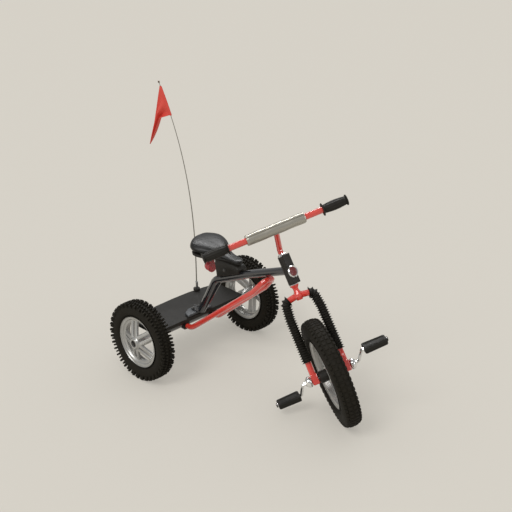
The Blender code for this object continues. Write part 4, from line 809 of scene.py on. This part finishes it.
bm = bmesh.new()
rod_steps = 60
rod_sides = 12
rod_side = Vector((0.0, 1.0, 0.0))
rod_loops = []
for i in range(rod_steps + 1):
    t = i / rod_steps
    ahead = (whip(min(1.0, t + 0.01)) - whip(max(0.0, t - 0.01))).normalized()
    across = ahead.cross(rod_side).normalized()
    wide = whip_foot_radius - whip_taper * t
    loop = []
    for j in range(rod_sides):
        a = math.tau * j / rod_sides
        loop.append(bm.verts.new(whip(t) + (across * math.cos(a) + rod_side * math.sin(a)) * wide))
    rod_loops.append(loop)
skin(bm, rod_loops)
bm.faces.new(rod_loops[0])
bm.faces.new(rod_loops[-1])
rod = new_piece("whip_rod", closed_mesh(bm, "whip_rod", 50.0), pole_grey)
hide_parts("flag_pole")
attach(rod, "frame")

columns = 48
sleeve_columns = 12
sleeve_radius = 0.0032
sleeve_wrap = 325.0
rows = 36
hoist = 0.0965
top_gap = 0.0105
notch = 0.034
notch_at = 0.44
fold_swing = 0.040
beside = Vector((-sleeve_radius, 0.0, 0.0))
low = whip_at(top_gap + hoist)
corner = low + Vector((-0.101, -0.004, -0.119))
bm = bmesh.new()
sheet = []
for j in range(rows + 1):
    a = j / rows
    start = whip_at(top_gap + hoist * a)
    line = []
    for i in range(sleeve_columns):
        wrap = math.radians(sleeve_wrap * (1 - i / sleeve_columns))
        line.append(bm.verts.new(start + Vector((-math.cos(wrap), math.sin(wrap), 0.0)) * sleeve_radius))
    for i in range(columns + 1):
        b = i / columns
        spot = (start + beside).lerp(corner, b)
        lift = b / notch_at if b < notch_at else ((1 - b) / (1 - notch_at)) ** 2.2
        spot.z += notch * lift * a
        fold = math.sin(3.1 * math.pi * a + 1.2 * b) * b * (1.05 - b)
        spot.y += fold_swing * fold * (0.35 + 0.65 * a)
        line.append(bm.verts.new(spot))
    sheet.append(line)
for a, b in zip(sheet, sheet[1:]):
    for i in range(sleeve_columns + columns):
        bm.faces.new((a[i], a[i + 1], b[i + 1], b[i]))
bmesh.ops.remove_doubles(bm, verts=bm.verts, dist=2e-4)
flag_mesh = bpy.data.meshes.new("pennant")
bm.to_mesh(flag_mesh)
bm.free()
flag_mesh.shade_smooth()
pennant = new_piece("pennant", flag_mesh, flag_red)
thick = pennant.modifiers.new("Thickness", "SOLIDIFY")
thick.thickness = 0.0006
thick.offset = 0.0
settle(pennant)
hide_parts("flag")
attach(pennant, "frame")


# Head
# A black moulded cover clamps round the head tube with a raised front shield, between
# two chromed bearing cups. The round badge on it is plain enamel in a chromed ring.

cover = eased_copy("head_moulding", "head_cover", black_plastic, 0.0011)
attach(cover, "frame")
for name in ("badge_ring", "headset_cup_upper", "headset_cup_lower", "stem_collar", "stem_nut"):
    paint(name, chrome)
badge_enamel = finish("badge enamel", (0.16, 0.012, 0.012), (0.11, 0.009, 0.009), (0.20, 0.32), 300.0, 30.0,
                      0.05, coat=0.5)
paint("head_badge", badge_enamel)


# Fork
# Steel tube in red enamel: a waisted neck over a crown, two legs that end in flattened
# eyes, with white bushes in them for the crank rod.

nylon = finish("white nylon", (0.70, 0.69, 0.66), (0.62, 0.61, 0.58), (0.4, 0.5), 500.0, 50.0, 0.1)
paint("fork", red_enamel)
for name in ("fork_bush_left", "fork_bush_right"):
    paint(name, nylon)


# Fork gaiters
# Soft black rubber bellows pulled over both legs, with pointed ribs all the way down. The
# right one starts a little further down its leg.

gaiter_rubber = finish("gaiter rubber", (0.0105, 0.0090, 0.0060), (0.0155, 0.0135, 0.0095), (0.50, 0.68),
                       700.0, 40.0, 0.3, dust=0.02, wear=0.30, worn=(0.06, 0.055, 0.045), mirror=0.22)

bellows_tree, bellows_sockets, bellows_in, bellows_out = shape_tree(
    "Bellows on a path",
    [("Ribs", "Int"), ("Groove radius", "Float"), ("Rib height", "Float"), ("Finish", "Material")])
bellows_count = node(bellows_tree, "ShaderNodeMath", (-800, 200), operation="MULTIPLY_ADD",
                     inputs={1: 10.0, 2: 1.0})
bellows_even = node(bellows_tree, "GeometryNodeResampleCurve", (-600, 100))
bellows_factor = node(bellows_tree, "GeometryNodeSplineParameter", (-800, -200))
bellows_phase = node(bellows_tree, "ShaderNodeMath", (-600, -200), operation="MULTIPLY")
bellows_angle = node(bellows_tree, "ShaderNodeMath", (-450, -200), operation="MULTIPLY",
                     inputs={1: math.pi})
bellows_wave = node(bellows_tree, "ShaderNodeMath", (-300, -200), operation="SINE")
bellows_round = node(bellows_tree, "ShaderNodeMath", (-150, -200), operation="ABSOLUTE")
bellows_peak = node(bellows_tree, "ShaderNodeMath", (-80, -300), operation="SUBTRACT", inputs={0: 1.0})
bellows_lift = node(bellows_tree, "ShaderNodeMath", (0, -200), operation="MULTIPLY")
bellows_size = node(bellows_tree, "ShaderNodeMath", (150, -200), operation="ADD")
bellows_radius = node(bellows_tree, "GeometryNodeSetCurveRadius", (200, 100))
bellows_ring = node(bellows_tree, "GeometryNodeCurvePrimitiveCircle", (200, -50),
                    inputs={"Resolution": 28, "Radius": 1.0})
bellows_skin = node(bellows_tree, "GeometryNodeCurveToMesh", (450, 50), inputs={"Fill Caps": True})
bellows_smooth = node(bellows_tree, "GeometryNodeSetShadeSmooth", (600, 50))
bellows_paint = node(bellows_tree, "GeometryNodeSetMaterial", (750, 50))
wire(bellows_tree, (bellows_in, "Ribs", bellows_count, 0), (bellows_in, "Geometry", bellows_even, "Curve"),
     (bellows_count, 0, bellows_even, "Count"), (bellows_factor, "Factor", bellows_phase, 0),
     (bellows_in, "Ribs", bellows_phase, 1), (bellows_phase, 0, bellows_angle, 0),
     (bellows_angle, 0, bellows_wave, 0), (bellows_wave, 0, bellows_round, 0),
     (bellows_round, 0, bellows_peak, 1), (bellows_peak, 0, bellows_lift, 0),
     (bellows_in, "Rib height", bellows_lift, 1), (bellows_lift, 0, bellows_size, 0),
     (bellows_in, "Groove radius", bellows_size, 1), (bellows_even, 0, bellows_radius, "Curve"),
     (bellows_size, 0, bellows_radius, "Radius"), (bellows_radius, 0, bellows_skin, "Curve"),
     (bellows_ring, 0, bellows_skin, "Profile Curve"), (bellows_size, 0, bellows_skin, "Scale"),
     (bellows_skin, 0, bellows_smooth, "Geometry"), (bellows_smooth, 0, bellows_paint, "Geometry"),
     (bellows_in, "Finish", bellows_paint, "Material"), (bellows_paint, 0, bellows_out, 0))


def turned_corner(before, here, after, radius, steps=12):
    """Points round one corner of a bent tube."""
    back = (before - here).normalized()
    ahead = (after - here).normalized()
    half = back.angle(ahead) / 2
    away = radius / math.tan(half)
    centre = here + (back + ahead).normalized() * (radius / math.sin(half))
    first = here + back * away - centre
    last = here + ahead * away - centre
    sweep = first.angle(last)
    spots = []
    for i in range(steps + 1):
        t = i / steps
        spots.append(centre + first * (math.sin((1 - t) * sweep) / math.sin(sweep))
                     + last * (math.sin(t * sweep) / math.sin(sweep)))
    return spots


def leg_line(side):
    """Centre line of a fork leg in the fork's own space: from the crown over its shoulder and down."""
    top = Vector((0.0, 0.0, 0.2405))
    shoulder = Vector((0.001, side * 0.043, 0.2335))
    spread = Vector((0.003, side * 0.049, 0.1855))
    foot = Vector((fork_offset, side * 0.050, 0.0))
    return ([top] + turned_corner(top, shoulder, spread, 0.016) + turned_corner(shoulder, spread, foot, 0.05)
            + [foot])


def part_of(line, start, stop):
    """The stretch of a line between two distances along it."""
    kept = []
    gone = 0.0
    for a, b in zip(line, line[1:]):
        step = (b - a).length
        if gone <= start < gone + step:
            kept.append(a.lerp(b, (start - gone) / step))
        if start < gone + step <= stop:
            kept.append(b.copy())
        if gone < stop < gone + step:
            kept.append(a.lerp(b, (stop - gone) / step))
        gone += step
    return kept


bare_foot = 0.054
for side, label in ((1, "left"), (-1, "right")):
    line = leg_line(side)
    total = sum((b - a).length for a, b in zip(line, line[1:]))
    start = 0.0315 if side > 0 else 0.034
    run = part_of(line, start, total - bare_foot)
    path = bpy.data.curves.new(f"gaiter_{label}_path", "CURVE")
    path.dimensions = "3D"
    spline = path.splines.new("POLY")
    spline.points.add(len(run) - 1)
    for i, spot in enumerate(run):
        spline.points[i].co = (*(steering @ spot), 1.0)
    guide = added(f"gaiter_{label}_path", path)
    shape_with(guide, bellows_tree, bellows_sockets, Ribs=26, Groove_radius=0.0112, Rib_height=0.0056,
               Finish=gaiter_rubber)
    bpy.context.view_layer.update()
    ribbed = bpy.data.meshes.new_from_object(guide.evaluated_get(bpy.context.evaluated_depsgraph_get()))
    bpy.data.objects.remove(guide)
    gaiter = new_piece(f"gaiter_{label}_bellows", ribbed, gaiter_rubber)
    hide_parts(f"gaiter_{label}")
    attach(gaiter, "steering")


# Handlebar
# A straight red bar welded across a stem that drops into the fork, all one enamelled piece.

paint("handlebar", red_enamel)
bar_centre = steering @ Matrix.Translation((0.078, 0.0, 0.439))
bar_hole = 0.0098


# Bar pad
# A slit foam tube in a silver vinyl cover, pushed over the bar, its lips meeting along the
# upper front.

pad_silver = finish("pad silver", (0.37, 0.350, 0.300), (0.32, 0.300, 0.255), (0.26, 0.38), 1300.0, 24.0,
                    0.2, metallic=0.55, dust=0.03)
bm = bmesh.new()
around = 72
along = 44
pad_half = 0.089
pad_radius = 0.01585
end_round = 0.004
slit = math.radians(62)
slit_depth = 0.0030
slit_half = 0.085
wrinkle = 0.0004
loops = []
for i in range(along + 1):
    t = -1 + 2 * i / along
    y = pad_half * t
    ends = min(1.0, (pad_half - abs(y)) / end_round)
    round_off = 0.90 + 0.10 * math.sqrt(max(0.0, 1 - (1 - ends) ** 2))
    loop = []
    for j in range(around):
        a = math.tau * j / around
        away = math.atan2(math.sin(a - slit), math.cos(a - slit))
        groove = slit_depth * math.exp(-(away / slit_half) ** 2)
        swell = wrinkle * math.sin(9 * t + 2 * a)
        r = pad_radius * round_off - groove + swell * ends
        loop.append(bm.verts.new((r * math.sin(a), y, r * math.cos(a))))
    loops.append(loop)
skin(bm, loops)


def hole_ring(bm, y, sides):
    """A ring of points where a sleeve meets the bar."""
    turns = [math.tau * j / sides for j in range(sides)]
    return [bm.verts.new((bar_hole * math.sin(a), y, bar_hole * math.cos(a))) for a in turns]


inner = []
for end, y in ((loops[0], -pad_half), (loops[-1], pad_half)):
    inner.append(hole_ring(bm, y, around))
    skin(bm, [end, inner[-1]])
skin(bm, inner)
bmesh.ops.transform(bm, matrix=bar_centre, verts=bm.verts)
pad = new_piece("bar_pad_cover", closed_mesh(bm, "bar_pad_cover", 50.0), pad_silver)
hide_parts("bar_pad")
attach(pad, "steering")


# Grips
# Moulded black rubber, pushed on the bar: a wide inner flange, a full barrel with finger
# flutes along it, and a smaller flange at the closed end.

inner_end = 0.143
outer_end = 0.220
sides = 96
barrel_steps = 20
flute_count = 12
flute_depth = 0.0009
for side, label in ((1, "left"), (-1, "right")):
    bm = bmesh.new()
    profile = [(bar_hole, inner_end), (0.0182, inner_end + 0.0008), (0.0190, inner_end + 0.0018),
               (0.0182, inner_end + 0.0032)]
    for i in range(barrel_steps + 1):
        t = i / barrel_steps
        swell = 0.01175 + 0.0030 * math.sin(math.pi * t) ** 0.85
        profile.append((swell, inner_end + 0.0042 + (outer_end - inner_end - 0.0084) * t))
    profile += [(0.0152, outer_end - 0.0034), (0.0160, outer_end - 0.0020), (0.0154, outer_end - 0.0006),
                (0.0140, outer_end)]
    loops = []
    for r, y in profile:
        t = (y - inner_end) / (outer_end - inner_end)
        depth = flute_depth if 0.10 < t < 0.90 else 0.0
        loop = []
        for j in range(sides):
            a = math.tau * j / sides
            flute = depth * (0.5 - 0.5 * math.cos(flute_count * a))
            loop.append(bm.verts.new(((r - flute) * math.sin(a), y, (r - flute) * math.cos(a))))
        loops.append(loop)
    skin(bm, loops)
    capped(bm, loops[-1], (0.0, outer_end, 0.0))
    deep = hole_ring(bm, outer_end - 0.0035, sides)
    skin(bm, [loops[0], deep])
    bm.faces.new(deep)
    bmesh.ops.transform(bm, matrix=bar_centre @ facing(side), verts=bm.verts)
    grip = new_piece(f"grip_{label}_moulding", closed_mesh(bm, f"grip_{label}_moulding", 40.0), gaiter_rubber)
    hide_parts(f"grip_{label}")
    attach(grip, "steering")


# Cranks
# One chromed steel rod bent into both crank arms, with a domed chromed boss beside each
# fork eye. The pedals' end caps are black.

paint("crank_axle", chrome)
for side, label in ((1, "left"), (-1, "right")):
    spots = [(front_axle.inverted() @ v.co).y * side for v in nodes[f"crank_boss_{label}"].data.vertices]
    near, far = min(spots), max(spots)
    long = far - near
    bm = turned(bmesh.new(), [
        (0.0068, near), (0.0105, near), (0.0150, near + 0.12 * long), (0.0168, near + 0.34 * long),
        (0.0165, near + 0.52 * long), (0.0140, near + 0.74 * long), (0.0105, near + 0.90 * long),
        (0.0085, far), (0.0068, far)], 48)
    bmesh.ops.scale(bm, vec=(1.0, side, 1.0), verts=bm.verts)
    bmesh.ops.transform(bm, matrix=front_axle, verts=bm.verts)
    boss = new_piece(f"crank_boss_{label}_dome", closed_mesh(bm, f"crank_boss_{label}_dome", 50.0), chrome)
    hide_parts(f"crank_boss_{label}")
    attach(boss, "front_wheel_unit")
for name in ("pedal_cap_left", "pedal_cap_right"):
    paint(name, gaiter_rubber)


# Pedals
# Moulded black rubber blocks that turn on the rod's ends, ribbed along their length and
# narrower at the outer end.

crank_angle = math.radians(201)
crank_throw = 0.105
swing = Vector((math.cos(crank_angle), 0.0, math.sin(crank_angle))) * crank_throw
level = Matrix.Rotation(head_rake, 4, "Y")
inner_end = 0.096
outer_end = 0.165
stations = 22
steps = 96
squareness = 0.42
half_wide = 0.018
half_high = 0.010
rib_depth = 0.0022
for side, label in ((1, "left"), (-1, "right")):
    spot = front_axle @ Matrix.Translation(swing * -side) @ level @ facing(side)
    bm = bmesh.new()
    loops = []
    for i in range(stations + 1):
        t = i / stations
        y = inner_end + (outer_end - inner_end) * t
        share = 1.0 - 0.14 * t
        close = min(1.0, min(t, 1 - t) * stations / 1.6)
        soft = 0.90 + 0.10 * math.sqrt(max(0.0, 1 - (1 - close) ** 2))
        groove = 1.0 if 0.06 < t < 0.94 else 0.0
        loop = []
        for j in range(steps):
            a = math.tau * j / steps
            c, s = math.cos(a), math.sin(a)
            x = math.copysign(abs(c) ** squareness, c)
            z = math.copysign(abs(s) ** squareness, s)
            ribs = rib_depth * (0.5 + 0.5 * math.cos(x * 5 * math.pi)) ** 1.5 if abs(z) > 0.9 else 0.0
            tall = half_high * soft - ribs * groove
            loop.append(bm.verts.new((half_wide * share * soft * x, y, tall * z)))
        loops.append(loop)
    skin(bm, loops)
    for loop in (loops[0], loops[-1]):
        capped(bm, loop)
    bmesh.ops.transform(bm, matrix=spot, verts=bm.verts)
    pedal = new_piece(f"pedal_{label}_block", closed_mesh(bm, f"pedal_{label}_block", 45.0), gaiter_rubber)
    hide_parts(f"pedal_{label}")
    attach(pedal, f"{label}_pedal_unit")
